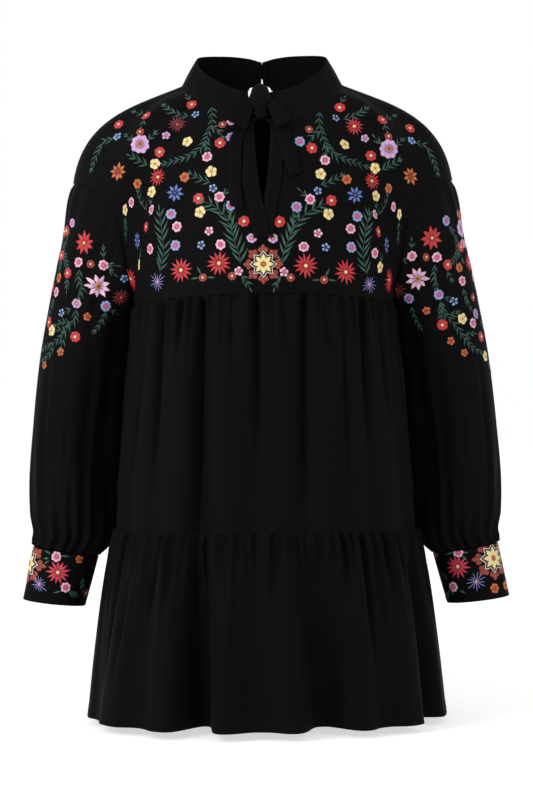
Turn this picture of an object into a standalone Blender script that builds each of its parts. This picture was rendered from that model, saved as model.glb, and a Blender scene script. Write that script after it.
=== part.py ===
"""A tiered smock dress, filled out as if worn, with every cut piece its own thin wall.

Metres, +Z up, the front towards -Y. The origin lies level with the shoulder seams at the neck,
where the wearer's shoulders carry the dress. Left and right are the wearer's: left is +X.
"""

import math
from collections import namedtuple

import bmesh
import bpy
from mathutils import Matrix, Vector
from mathutils.bvhtree import BVHTree

# Cloth and sewing
WALL = 0.0015
RIBBON_WALL = 0.0012
SEAM_GAP = 0.0004
NECK_SEAM_GAP = 0.0016
LAY_GAP = 0.0003

# Levels, from the shoulder seam at the neck
YOKE_SEAM_Z = -0.2645
YOKE_SIDE_DIP = 0.0090
TIER_SEAM_Z = -0.5560
HEM_Z = -0.7930

# The neckline and the stand collar
NECK_HALF_WIDTH = 0.1024
NECK_FRONT = 0.0780
NECK_BACK = 0.0620
NECK_SIDE_Z = 0.0070
NECK_FRONT_Z = -0.0400
NECK_BACK_Z = 0.0120
COLLAR_TOP_HALF_WIDTH = 0.0830
COLLAR_TOP_FRONT = 0.0550
COLLAR_TOP_BACK = 0.0480
COLLAR_BULGE = 0.0006

# The collar's upper edge: degrees from the front centre, and its level
Rim = namedtuple("Rim", "degrees z")
COLLAR_TOP = (
    Rim(0, -0.0110),
    Rim(25, -0.0030),
    Rim(45, 0.0095),
    Rim(60, 0.0205),
    Rim(75, 0.0315),
    Rim(90, 0.0415),
    Rim(118, 0.0495),
    Rim(150, 0.0528),
    Rim(168, 0.0508),
    Rim(180, 0.0460),
)

# Gathers: how many small waves each gathered edge has, all round
YOKE_GATHERS = 60
TIER_GATHERS = 68
CUFF_GATHERS = 18
CORNER_FULLNESS = 0.04
SIDE_CALM = 0.030

# Horizontal sections of the two tiers: where they lie, and how far they reach each way
Section = namedtuple("Section", "z half_width front back")
TIER_SECTIONS = (
    Section(-0.2645, 0.1650, 0.1290, 0.1130),
    Section(-0.3050, 0.1705, 0.1360, 0.1190),
    Section(-0.3700, 0.1765, 0.1420, 0.1270),
    Section(-0.4600, 0.1835, 0.1490, 0.1370),
    Section(-0.5560, 0.1905, 0.1560, 0.1460),
)
RUFFLE_SECTIONS = (
    Section(-0.5560, 0.1910, 0.1560, 0.1460),
    Section(-0.5750, 0.1970, 0.1610, 0.1510),
    Section(-0.6300, 0.2082, 0.1650, 0.1570),
    Section(-0.7100, 0.2192, 0.1690, 0.1640),
    Section(-0.7930, 0.2282, 0.1720, 0.1700),
)

# Folds: the angle from the front centre towards the wearer's left, the half width, both in
# degrees, and how far the cloth sinks in at the top and the bottom of its tier
Fold = namedtuple("Fold", "angle spread top bottom")
TIER_FOLDS = (
    Fold(-62, 6, 0.001, 0.005),
    Fold(-44, 5, 0.002, 0.006),
    Fold(-25, 5, 0.003, 0.014),
    Fold(-4, 6, 0.004, 0.008),
    Fold(15, 6, 0.004, 0.009),
    Fold(29, 4, 0.002, 0.004),
    Fold(42, 5, 0.002, 0.006),
    Fold(64, 6, 0.002, 0.007),
    Fold(112, 7, 0.003, 0.009),
    Fold(138, 5, 0.003, 0.007),
    Fold(163, 6, 0.003, 0.011),
    Fold(-171, 5, 0.002, 0.006),
    Fold(-146, 6, 0.003, 0.010),
    Fold(-118, 6, 0.002, 0.008),
)
RUFFLE_FOLDS = (
    Fold(-113, 6, 0.0, 0.032),
    Fold(-70, 6, 0.0, 0.008),
    Fold(-44, 6, 0.0, 0.013),
    Fold(-23, 5.2, 0.0, 0.055),
    Fold(-2, 7, 0.0, 0.016),
    Fold(20, 7.0, 0.0, 0.048),
    Fold(40, 6, 0.0, 0.014),
    Fold(64, 6.0, 0.0, 0.040),
    Fold(110, 6, 0.0, 0.034),
    Fold(135, 7, 0.0, 0.026),
    Fold(160, 6, 0.0, 0.038),
    Fold(-172, 7, 0.0, 0.020),
    Fold(-150, 6, 0.0, 0.040),
    Fold(-132, 6, 0.0, 0.020),
)

# Spokes of the yoke, from the neckline out to its edge. Share runs from the centre line to the
# shoulder seam. Leave and arrive are the handles that bend each spoke at its two ends
Spoke = namedtuple("Spoke", "share leave_x leave_y leave_z arrive_x arrive_y arrive_z")
FRONT_SPOKES = (
    Spoke(0.000, 0.000, -0.030, -0.050, 0.000, -0.002, -0.080),
    Spoke(0.250, 0.022, -0.038, -0.040, 0.008, 0.004, -0.085),
    Spoke(0.500, 0.040, -0.040, -0.064, 0.007, 0.106, -0.001),
    Spoke(0.540, 0.040, -0.038, -0.064, -0.001, 0.096, -0.006),
    Spoke(0.600, 0.040, -0.034, -0.028, 0.016, 0.068, -0.020),
    Spoke(0.680, 0.041, -0.028, -0.008, 0.029, 0.034, -0.062),
    Spoke(0.750, 0.042, -0.023, -0.018, 0.005, 0.014, -0.105),
    Spoke(0.875, 0.051, -0.010, -0.021, 0.015, -0.002, -0.066),
    Spoke(1.000, 0.060, 0.000, -0.023, 0.012, 0.000, -0.084),
)
BACK_SPOKES = (
    Spoke(0.000, 0.000, 0.024, -0.035, 0.000, -0.002, -0.085),
    Spoke(0.250, 0.026, 0.030, -0.034, 0.006, -0.002, -0.085),
    Spoke(0.500, 0.042, 0.036, -0.047, -0.001, -0.099, -0.012),
    Spoke(0.540, 0.042, 0.034, -0.042, -0.002, -0.102, 0.017),
    Spoke(0.600, 0.042, 0.030, -0.027, 0.006, -0.070, -0.020),
    Spoke(0.680, 0.043, 0.024, -0.010, 0.013, -0.036, -0.027),
    Spoke(0.750, 0.044, 0.018, -0.018, 0.029, -0.023, -0.015),
    Spoke(0.875, 0.052, 0.009, -0.021, 0.015, 0.002, -0.066),
    Spoke(1.000, 0.060, 0.000, -0.023, 0.012, 0.000, -0.084),
)
CORNER_SHARE = 0.5
NECK_CORNER_DEGREES = 52
SHOULDER_TIP_DEGREES = 90

# The armhole, from the end of the yoke seam at the side up to the shoulder seam, on the front
Armhole = namedtuple("Armhole", "share x y z")
ARMHOLE = (
    Armhole(0.00, 0.1650, 0.0000, -0.2735),
    Armhole(0.07, 0.1660, 0.0000, -0.2630),
    Armhole(0.18, 0.1690, 0.0230, -0.2525),
    Armhole(0.30, 0.1727, 0.0430, -0.2290),
    Armhole(0.44, 0.1760, 0.0550, -0.1950),
    Armhole(0.58, 0.1835, 0.0590, -0.1600),
    Armhole(0.70, 0.2000, 0.0530, -0.1380),
    Armhole(0.80, 0.2180, 0.0400, -0.1255),
    Armhole(0.90, 0.2340, 0.0205, -0.1180),
    Armhole(1.00, 0.2420, 0.0000, -0.1150),
)

# Slits at the front and back of the yoke: how far down a spoke, and half the opening there
Slit = namedtuple("Slit", "down half_width")
FRONT_SLIT = (
    Slit(0.00, 0.0122),
    Slit(0.10, 0.0106),
    Slit(0.20, 0.0092),
    Slit(0.32, 0.0076),
    Slit(0.44, 0.0046),
    Slit(0.56, 0.0000),
)
BACK_SLIT = (
    Slit(0.00, 0.0160),
    Slit(0.10, 0.0140),
    Slit(0.20, 0.0000),
)
SLIT_REACH = 0.24
RIDGE_ROUND = 0.0120
SHOULDER_GAP = 0.0013
SIDE_GAP = 0.0012
YOKE_ROWS = (0.0, 0.10, 0.20, 0.32, 0.44, 0.56, 0.71, 0.86, 1.0)
YOKE_SEAM_CELLS = 10
ARMHOLE_CELLS = 9

# Rings of a sleeve: its outer and inner edge as seen from the front, and its half depth
Ring = namedtuple("Ring", "share outer_x outer_z inner_x inner_z half_depth centre_y")
SLEEVE_RINGS = (
    Ring(0.00, 0.2420, -0.1150, 0.1710, -0.2620, 0.0590, 0.000),
    Ring(0.06, 0.2495, -0.1400, 0.1723, -0.2760, 0.0600, 0.004),
    Ring(0.14, 0.2560, -0.1770, 0.1732, -0.2960, 0.0600, 0.015),
    Ring(0.24, 0.2660, -0.2200, 0.1748, -0.3250, 0.0590, 0.022),
    Ring(0.35, 0.2760, -0.2650, 0.1782, -0.3580, 0.0580, 0.028),
    Ring(0.50, 0.2895, -0.3350, 0.1822, -0.4100, 0.0585, 0.034),
    Ring(0.64, 0.2985, -0.4100, 0.1864, -0.4650, 0.0600, 0.037),
    Ring(0.78, 0.3035, -0.4840, 0.1903, -0.5200, 0.0610, 0.036),
    Ring(0.88, 0.3010, -0.5380, 0.1940, -0.5560, 0.0560, 0.030),
    Ring(0.95, 0.2945, -0.5630, 0.2032, -0.5770, 0.0430, 0.021),
    Ring(1.00, 0.2980, -0.5780, 0.2158, -0.5910, 0.0320, 0.015),
)
SLEEVE_ROWS = (0.0, 0.03, 0.10, 0.20, 0.34, 0.50, 0.66, 0.78, 0.88, 0.95, 1.0)
CAP_LENGTH = 0.30
UNDERARM_CLEAR = 0.0021
CUFF_SEAM_CLEAR = 0.0010
CUFF_RINGS = (
    Ring(0.0, 0.2980, -0.5785, 0.2158, -0.5915, 0.0310, 0.015),
    Ring(0.5, 0.3053, -0.6130, 0.2245, -0.6240, 0.0325, 0.015),
    Ring(1.0, 0.3122, -0.6470, 0.2335, -0.6560, 0.0330, 0.015),
)
CUFF_ROWS = 2
CUFF_CELLS = 24

# Strips beside the front slit: a level, and how far the strip's two edges lie from the centre
Strip = namedtuple("Strip", "z inner outer")
PLACKET_RIGHT = (
    Strip(-0.0520, -0.0102, -0.0240),
    Strip(-0.0750, -0.0094, -0.0238),
    Strip(-0.1000, -0.0078, -0.0236),
    Strip(-0.1280, -0.0048, -0.0250),
    Strip(-0.1540, 0.0004, -0.0190),
    Strip(-0.1750, 0.0055, -0.0145),
    Strip(-0.1970, 0.0080, -0.0115),
)
PLACKET_LEFT = (
    Strip(-0.0520, 0.0102, 0.0240),
    Strip(-0.0750, 0.0094, 0.0240),
    Strip(-0.1000, 0.0078, 0.0245),
    Strip(-0.1280, 0.0048, 0.0225),
    Strip(-0.1540, 0.0020, 0.0175),
    Strip(-0.1750, 0.0066, 0.0145),
    Strip(-0.1970, 0.0090, 0.0120),
)
PLACKET_CELLS = 4
CHEST_SLOPE = 0.45

# The tie: a knot, two short loops and two hanging ends
KNOT_CENTRE = Vector((0.0, -0.0690, -0.0235))
KNOT_HALF = Vector((0.0100, 0.0115, 0.0205))
KNOT_LEAN = 0.72
KNOT_TOP_SHARE = 0.45
Tail = namedtuple("Tail", "z inner outer stand_off")
TAIL_RIGHT = (
    Tail(-0.0470, -0.0040, -0.0115, 0.0042),
    Tail(-0.0540, -0.0145, -0.0270, 0.0034),
    Tail(-0.0680, -0.0225, -0.0380, 0.0034),
    Tail(-0.0840, -0.0258, -0.0420, 0.0028),
    Tail(-0.1080, -0.0262, -0.0425, 0.0024),
    Tail(-0.1320, -0.0264, -0.0422, 0.0024),
    Tail(-0.1590, -0.0235, -0.0400, 0.0024),
)
TAIL_LEFT = (
    Tail(-0.0470, 0.0040, 0.0115, 0.0042),
    Tail(-0.0540, 0.0110, 0.0270, 0.0034),
    Tail(-0.0640, 0.0155, 0.0335, 0.0034),
    Tail(-0.0830, 0.0210, 0.0400, 0.0037),
    Tail(-0.1000, 0.0265, 0.0440, 0.0035),
    Tail(-0.1190, 0.0330, 0.0470, 0.0026),
)
TAIL_END_SLANT = 0.0050
Loop = namedtuple("Loop", "name side length end_width drop_degrees")
LOOPS = (
    Loop("tie_loop_left", 1, 0.0390, 0.0225, 58),
    Loop("tie_loop_right", -1, 0.0405, 0.0265, 60),
)
LOOP_ROOT_WIDTH = 0.0090
LOOP_HALF_GAP = 0.0027
LOOP_GROOVE = 0.0008
LOOP_FORWARD = 0.68
LOOP_ROOT = Vector((0.0130, -0.0792, -0.0265))
LOOP_CELLS = 4
LOOP_ROWS = 12

# The back closing: a button over the collar's ends and a strip behind them
BUTTON_RADIUS = 0.0045
BUTTON_HALF_THICK = 0.0016
BUTTON_UP = 0.80
TAB_HALF_WIDTH = 0.0065
TAB_TOP = 0.93
TAB_BOTTOM = 0.42
TAB_WALL = 0.0010


def read_table(rows, at):
    """One row between a table's rows, on a smooth curve through them. The first column leads."""
    keys = [row[0] for row in rows]
    step = 1 if keys[-1] > keys[0] else -1
    at = step * min(max(step * at, step * keys[0]), step * keys[-1])
    i = max(k for k in range(len(rows) - 1) if step * keys[k] <= step * at or k == 0)
    span = keys[i + 1] - keys[i]
    t = (at - keys[i]) / span

    def slope(k, column):
        low, high = max(k - 1, 0), min(k + 1, len(rows) - 1)
        return (rows[high][column] - rows[low][column]) / (keys[high] - keys[low])

    out = [at]
    for column in range(1, len(rows[0])):
        here, there = rows[i][column], rows[i + 1][column]
        out.append(
            here * (1 + 2 * t) * (1 - t) ** 2
            + there * t * t * (3 - 2 * t)
            + slope(i, column) * span * t * (1 - t) ** 2
            - slope(i + 1, column) * span * t * t * (1 - t)
        )
    return type(rows[0])(*out)


def ease(value, low, high):
    """0 below low, 1 above high, and smooth between."""
    t = min(max((value - low) / (high - low), 0.0), 1.0)
    return t * t * (3 - 2 * t)


def angle_round(turn, seed):
    """The angle at a share of the way round, so that gathers are unevenly spaced."""
    return (
        2 * math.pi * turn
        + 0.040 * math.sin(12 * math.pi * turn + 0.0)
        + 0.014 * seed * (1 - math.cos(8 * math.pi * turn))
    )


def body_point(angle, section, z=None):
    """A point on a level section of the body, and the direction that faces out there."""
    s, c = math.sin(angle), math.cos(angle)
    depth = section.front if c > 0 else section.back
    full = 1 + CORNER_FULLNESS * math.sin(2 * angle) ** 2
    point = Vector((section.half_width * s * full, -depth * c * full, section.z if z is None else z))
    out = Vector((s * depth, -c * section.half_width, 0)).normalized()
    return point, out


def fold_depth(folds, angle, down, sharpness):
    """How far the cloth sinks in at an angle, all folds together."""
    total = 0.0
    for fold in folds:
        off = (math.degrees(angle) - fold.angle + 180) % 360 - 180
        depth = fold.top + (fold.bottom - fold.top) * down
        total += depth * math.exp(-(abs(off / fold.spread) ** sharpness))
    return total


def side_calm(turn):
    """0 on the side seams, which hold the cloth flat, and 1 away from them."""
    off = min(abs((turn - 0.25) % 1), 1 - abs((turn - 0.25) % 1))
    off = min(off, abs(off - 0.5))
    return ease(off, 0.0, SIDE_CALM)


def gather_height(turn, count, down, length, seed):
    """The small waves below a gathered seam: each has its own height and length."""
    size = 1 + 0.35 * math.sin(18 * math.pi * turn + seed) + 0.25 * math.sin(46 * math.pi * turn + 2 * seed)
    reach = length * (1 + 0.5 * math.sin(14 * math.pi * turn + 3 * seed))
    swell = 0.55 + 0.45 * ease(down, 0.0, 0.05)
    fade = math.exp(-((down / reach) ** 1.3))
    return 0.0024 * size * swell * fade * side_calm(turn) * math.cos(2 * math.pi * count * turn)


def seam_dip(angle):
    """The yoke seam lies lower at the sides than at the centres."""
    return YOKE_SIDE_DIP * math.sin(angle) ** 2


def tier_point(turn, down):
    """The upper tier, from the yoke seam down to the tier seam."""
    angle = angle_round(turn, 1)
    z = YOKE_SEAM_Z + (TIER_SEAM_Z - YOKE_SEAM_Z) * down
    point, out = body_point(angle, read_table(TIER_SECTIONS, z))
    point.z -= seam_dip(angle) * (1 - down)
    sink = fold_depth(TIER_FOLDS, angle, down, 2) * ease(down, 0.0, 0.12)
    return point + out * (gather_height(turn, YOKE_GATHERS, down, 0.20, 1.0) - sink)


def ruffle_point(turn, down):
    """The gathered lower tier, from the tier seam to the hem."""
    angle = angle_round(turn, -1)
    z = TIER_SEAM_Z + (HEM_Z - TIER_SEAM_Z) * down
    point, out = body_point(angle, read_table(RUFFLE_SECTIONS, z))
    seam_sink = fold_depth(TIER_FOLDS, angle, 1.0, 2) * (1 - down)
    sink = seam_sink + fold_depth(RUFFLE_FOLDS, angle, down**0.8, 2.8) * ease(down, 0.0, 0.25)
    return point + out * (gather_height(turn, TIER_GATHERS, down, 0.30, 2.0) - sink)


def neck_point(degrees):
    """The neckline: 0 degrees is the front centre, 90 the side, 180 the back centre."""
    a = math.radians(degrees)
    s, c = math.sin(a), math.cos(a)
    depth, z, bend = (NECK_FRONT, NECK_FRONT_Z, 1.5) if c > 0 else (NECK_BACK, NECK_BACK_Z, 2.0)
    rise = (z - NECK_SIDE_Z) * abs(c) ** bend
    return Vector((NECK_HALF_WIDTH * s, -depth * c, NECK_SIDE_Z + rise))


def collar_top_point(degrees):
    """The upper edge of the stand collar, at the same angles as the neckline."""
    a = math.radians(degrees)
    s, c = math.sin(a), math.cos(a)
    depth = COLLAR_TOP_FRONT if c > 0 else COLLAR_TOP_BACK
    z = read_table(COLLAR_TOP, degrees).z
    return Vector((COLLAR_TOP_HALF_WIDTH * s, -depth * c, z))


def armhole_point(share, facing):
    """The seam round the armhole. Facing is -1 for the front panel and 1 for the back."""
    row = read_table(ARMHOLE, share)
    return Vector((row.x, facing * abs(row.y), row.z))


def spoke_point(share, down, facing):
    """The yoke, along a spoke from the neckline to its outer edge, on the wearer's left half."""
    spokes, slit = (FRONT_SPOKES, FRONT_SLIT) if facing < 0 else (BACK_SPOKES, BACK_SLIT)
    neck_turn = NECK_CORNER_DEGREES * share / CORNER_SHARE
    if share > CORNER_SHARE:
        beyond = (share - CORNER_SHARE) / (1 - CORNER_SHARE)
        neck_turn = NECK_CORNER_DEGREES + (SHOULDER_TIP_DEGREES - NECK_CORNER_DEGREES) * beyond
    start = neck_point(neck_turn if facing < 0 else 180 - neck_turn)
    if share <= CORNER_SHARE:
        angle = math.radians(90 * share / CORNER_SHARE)
        angle = angle if facing < 0 else math.pi - angle
        end, _ = body_point(angle, TIER_SECTIONS[0])
        end.z -= seam_dip(angle)
    else:
        end = armhole_point((share - CORNER_SHARE) / (1 - CORNER_SHARE), facing)
    row = read_table(spokes, share)
    leave = Vector((row.leave_x, row.leave_y, row.leave_z))
    arrive = Vector((row.arrive_x, row.arrive_y, row.arrive_z))
    t, u = down, 1 - down
    point = start * u**3 + (start + leave) * 3 * t * u * u + (end - arrive) * 3 * t * t * u + end * t**3
    if share < SLIT_REACH and down < slit[-1].down:
        point.x += read_table(slit, down).half_width * (1 - share / SLIT_REACH) ** 2
    return point


def yoke_point(share, down, facing):
    """A spoke's point, lifted near the shoulder seam so that both panels lie level along it."""
    point = spoke_point(share, down, facing)
    if share > CORNER_SHARE:
        ridge = spoke_point(1.0, down, facing)
        away = abs(point.y - ridge.y)
        lift = (1 - min(away / (2 * RIDGE_ROUND), 1)) * (1 - ease(away, RIDGE_ROUND, 4 * RIDGE_ROUND))
        point.z += (ridge.z - point.z) * lift * ease(share, 0.80, 0.92)
    return point


def sleeve_gather(turn, down):
    """Small waves on a sleeve, above the cuff and below the top of the shoulder seam."""
    wave = math.cos(2 * math.pi * CUFF_GATHERS * turn)
    size = 1 + 0.35 * math.sin(10 * math.pi * turn + 1) + 0.25 * math.sin(26 * math.pi * turn)
    cuff = 0.0026 * size * ease(down, 0.70, 0.95) * (1 - 0.45 * ease(down, 0.97, 1.0))
    near_top = math.exp(-((min(turn, 1 - turn) / 0.14) ** 2))
    shoulder = 0.0016 * near_top * ease(down, 0.0, 0.03) * (1 - ease(down, 0.05, 0.22))
    return wave * (cuff + shoulder)


SleeveFold = namedtuple("SleeveFold", "turn spread start end depth")
SLEEVE_FOLDS = (
    SleeveFold(0.30, 0.035, 0.30, 0.90, 0.008),
    SleeveFold(0.17, 0.030, 0.55, 0.98, 0.005),
    SleeveFold(0.385, 0.045, 0.12, 0.95, 0.014),
    SleeveFold(0.62, 0.040, 0.25, 0.90, 0.007),
    SleeveFold(0.78, 0.035, 0.45, 0.98, 0.006),
)


def ring_point(ring, turn):
    """A point on a sleeve's or cuff's ring, and the way out. Turn 0 is the outer edge, 0.25 the front."""
    angle = 2 * math.pi * turn
    outer = Vector((ring.outer_x, ring.centre_y, ring.outer_z))
    inner = Vector((ring.inner_x, ring.centre_y, ring.inner_z))
    centre, across = (outer + inner) / 2, (outer - inner) / 2
    depth = Vector((0, -ring.half_depth, 0))
    point = centre + across * math.cos(angle) + depth * math.sin(angle)
    out = across * (math.cos(angle) / across.length) + depth * (math.sin(angle) / depth.length)
    return point, out.normalized()


def armhole_ring(turn):
    """The armhole as a ring: turn 0 at the shoulder, 0.25 on the front, 0.5 at the underarm."""
    facing = -1 if turn <= 0.5 else 1
    up = 1 - 2 * turn if turn <= 0.5 else 2 * turn - 1
    lowest = ARMHOLE[1].share
    cells = up * ARMHOLE_CELLS
    low = min(int(cells + 1e-6), ARMHOLE_CELLS - 1)
    a, b = (armhole_point(lowest + (1 - lowest) * k / ARMHOLE_CELLS, facing) for k in (low, low + 1))
    return a.lerp(b, cells - low)


def sleeve_point(turn, down):
    """The wearer's left sleeve, from the armhole down to the cuff."""
    ring = read_table(SLEEVE_RINGS, down)
    point, out = ring_point(ring, turn)
    if down < CAP_LENGTH:
        first, _ = ring_point(SLEEVE_RINGS[0], turn)
        hold = 1 - ease(down, 0.0, CAP_LENGTH)
        point += (armhole_ring(turn) - first) * hold
        under = ease(abs(turn - 0.5), 0.5, 0.0)
        point += Vector((under * UNDERARM_CLEAR, 0, 0)) * (1 - ease(down, 0.0, 0.2))
    point.z -= (SEAM_GAP + 0.0006 * ease(min(turn, 1 - turn), 0.05, 0.2)) * (1 - ease(down, 0.0, 0.05))
    sink = 0.0
    for fold in SLEEVE_FOLDS:
        middle, half = (fold.start + fold.end) / 2, (fold.end - fold.start) / 2
        along = max(0.0, 1 - ((down - middle) / half) ** 2)
        sink += fold.depth * along * math.exp(-(((turn - fold.turn) / fold.spread) ** 2))
    return point + out * (sleeve_gather(turn, down) - sink)


def cuff_point(turn, down):
    """The cuff, a plain band on the end of the sleeve."""
    ring = read_table(CUFF_RINGS, down)
    point, _ = ring_point(ring, turn)
    point.z -= CUFF_SEAM_CLEAR * (1 - down)
    return point


def material(name, colour, roughness):
    made = bpy.data.materials.new(name)
    made.use_nodes = True
    shader = made.node_tree.nodes["Principled BSDF"]
    shader.inputs["Base Color"].default_value = (*colour, 1)
    shader.inputs["Roughness"].default_value = roughness
    return made


def add_object(name, mesh, collection, finish):
    made = bpy.data.objects.new(name, mesh)
    collection.objects.link(made)
    mesh.materials.append(finish)
    return made


def grid_mesh(name, across, down, place, closed=False):
    """A grid of cells whose corners are put where place says, by column and row number."""
    shape = bmesh.new()
    bmesh.ops.create_grid(shape, x_segments=across, y_segments=down, size=0.5)
    for corner in shape.verts:
        column = round((corner.co.x + 0.5) * across)
        row = round((corner.co.y + 0.5) * down)
        corner.co = place(column, row)
    if closed:
        bmesh.ops.remove_doubles(shape, verts=shape.verts, dist=1e-6)
    mesh = bpy.data.meshes.new(name)
    shape.to_mesh(mesh)
    shape.free()
    return mesh


def give_wall(made, thickness):
    wall = made.modifiers.new("wall", "SOLIDIFY")
    wall.thickness = thickness
    wall.offset = 0
    wall.use_even_offset = True
    wall.use_quality_normals = True


def mirrored(place):
    """The same places on the wearer's other side."""

    def other(column, row):
        point = place(column, row)
        return Vector((-point.x, point.y, point.z))

    return other


def make_tiers(collection, cloth):
    """Front and back panels of both tiers, which meet in side seams."""
    tier_rows = (0.0, 0.04, 0.12, 0.30, 0.62, 1.0)
    ruffle_rows = (0.0, 0.05, 0.16, 0.38, 0.68, 1.0)
    for name, count, rows, point, length in (
        ("skirt", YOKE_GATHERS, tier_rows, tier_point, YOKE_SEAM_Z - TIER_SEAM_Z),
        ("ruffle", TIER_GATHERS, ruffle_rows, ruffle_point, TIER_SEAM_Z - HEM_Z),
    ):
        for side, start in (("front", -0.25), ("back", 0.25)):

            def place(column, row, start=start, count=count, rows=rows, point=point, length=length):
                trim = SEAM_GAP / length
                down = rows[row]
                down = trim if row == 0 else down
                if row == len(rows) - 1 and point is tier_point:
                    down = 1 - trim / 2
                at = point(start + column / (2 * count), down)
                if column in (0, count):
                    at.y += SEAM_GAP / 2 * (-1 if start < 0 else 1)
                return at

            mesh = grid_mesh(f"{name}_{side}", count, len(rows) - 1, place)
            give_wall(add_object(f"{name}_{side}", mesh, collection, cloth), WALL)


def make_yoke(collection, cloth):
    """Front and back yoke panels, each mirrored about the centre, where a slit parts its top."""
    half = YOKE_SEAM_CELLS + ARMHOLE_CELLS + 1
    panels = {}
    for name, facing in (("yoke_front", -1), ("yoke_back", 1)):

        def place(column, row, facing=facing):
            if column <= YOKE_SEAM_CELLS:
                share = CORNER_SHARE * column / YOKE_SEAM_CELLS
            else:
                lowest = ARMHOLE[1].share
                up = lowest + (1 - lowest) * (column - YOKE_SEAM_CELLS - 1) / ARMHOLE_CELLS
                share = CORNER_SHARE + (1 - CORNER_SHARE) * up
            point = yoke_point(share, YOKE_ROWS[row], facing)
            last = row == len(YOKE_ROWS) - 1
            if last and column <= YOKE_SEAM_CELLS:
                point.z += SEAM_GAP / 2
            if last and column in (YOKE_SEAM_CELLS, YOKE_SEAM_CELLS + 1):
                point.y += facing * SIDE_GAP / 2
            if column == half:
                point.y += facing * SHOULDER_GAP / 2
            return point

        mesh = grid_mesh(name, half, len(YOKE_ROWS) - 1, place)
        made = add_object(name, mesh, collection, cloth)
        mirror = made.modifiers.new("other half", "MIRROR")
        mirror.merge_threshold = 1e-5
        give_wall(made, WALL)
        panels[facing] = made
    return panels


def make_collar(collection, cloth):
    """Two halves of the stand collar, from the tie at the front to the button at the back."""
    cells = 18
    front_ends = (5.9, 6.1, 6.4, 7.0, 11.0)
    back_ends = (8.3, 2.6, 0.20, 0.22, 0.24)
    rows = len(front_ends) - 1

    def place(column, row):
        first, last = front_ends[row], 180 - back_ends[row]
        degrees = first + (last - first) * column / cells
        up = row / rows
        low, high = neck_point(degrees), collar_top_point(degrees)
        low += (high - low).normalized() * NECK_SEAM_GAP
        point = low.lerp(high, up)
        out = Vector((point.x, point.y, 0)).normalized()
        return point + out * COLLAR_BULGE * math.sin(math.pi * up)

    for name, put in (("collar_left", place), ("collar_right", mirrored(place))):
        mesh = grid_mesh(name, cells, rows, put)
        give_wall(add_object(name, mesh, collection, cloth), WALL)


def make_sleeves(collection, cloth):
    """Sleeves and cuffs: tubes closed along their length."""
    cells = 2 * CUFF_GATHERS
    last = len(SLEEVE_ROWS) - 1

    def sleeve(column, row):
        return sleeve_point((column % cells) / cells, SLEEVE_ROWS[row])

    def cuff(column, row):
        return cuff_point((column % CUFF_CELLS) / CUFF_CELLS, row / CUFF_ROWS)

    for name, across, down, place in (
        ("sleeve", cells, last, sleeve),
        ("cuff", CUFF_CELLS, CUFF_ROWS, cuff),
    ):
        for side, put in (("left", place), ("right", mirrored(place))):
            mesh = grid_mesh(f"{name}_{side}", across, down, put, closed=True)
            give_wall(add_object(f"{name}_{side}", mesh, collection, cloth), WALL)


def surface_finder(panel):
    """A function that gives the point of the front yoke seen straight ahead at (x, z)."""
    graph = bpy.context.evaluated_depsgraph_get()
    tree = BVHTree.FromObject(panel, graph)

    def find(x, z):
        for drop in (0.0, 0.006, 0.012, 0.018, 0.024):
            for shift in (0.0, 0.004, 0.008, 0.012):
                for side in (1, -1):
                    start = Vector((x + side * shift, -1.0, z - drop))
                    hit = tree.ray_cast(start, Vector((0, 1, 0)))
                    if hit[0] is not None and hit[0].y < 0:
                        return Vector((x, hit[0].y + CHEST_SLOPE * drop, z)), hit[1]
        raise ValueError(f"nothing of the yoke lies ahead at {x:.3f}, {z:.3f}")

    return find


def make_placket(collection, cloth, find):
    """Two strips that finish the front slit and meet below it."""
    lift = WALL / 2 + LAY_GAP + 0.0002
    for name, strip in (("placket_right", PLACKET_RIGHT), ("placket_left", PLACKET_LEFT)):
        rows = 2 * (len(strip) - 1)

        def place(column, row, strip=strip, rows=rows):
            z = strip[0].z + (strip[-1].z - strip[0].z) * row / rows
            at = read_table(strip, z)
            x = at.inner + (at.outer - at.inner) * column / PLACKET_CELLS
            point, out = find(x, z)
            return point + out * lift

        mesh = grid_mesh(name, PLACKET_CELLS, rows, place)
        give_wall(add_object(name, mesh, collection, cloth), WALL)


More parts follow.
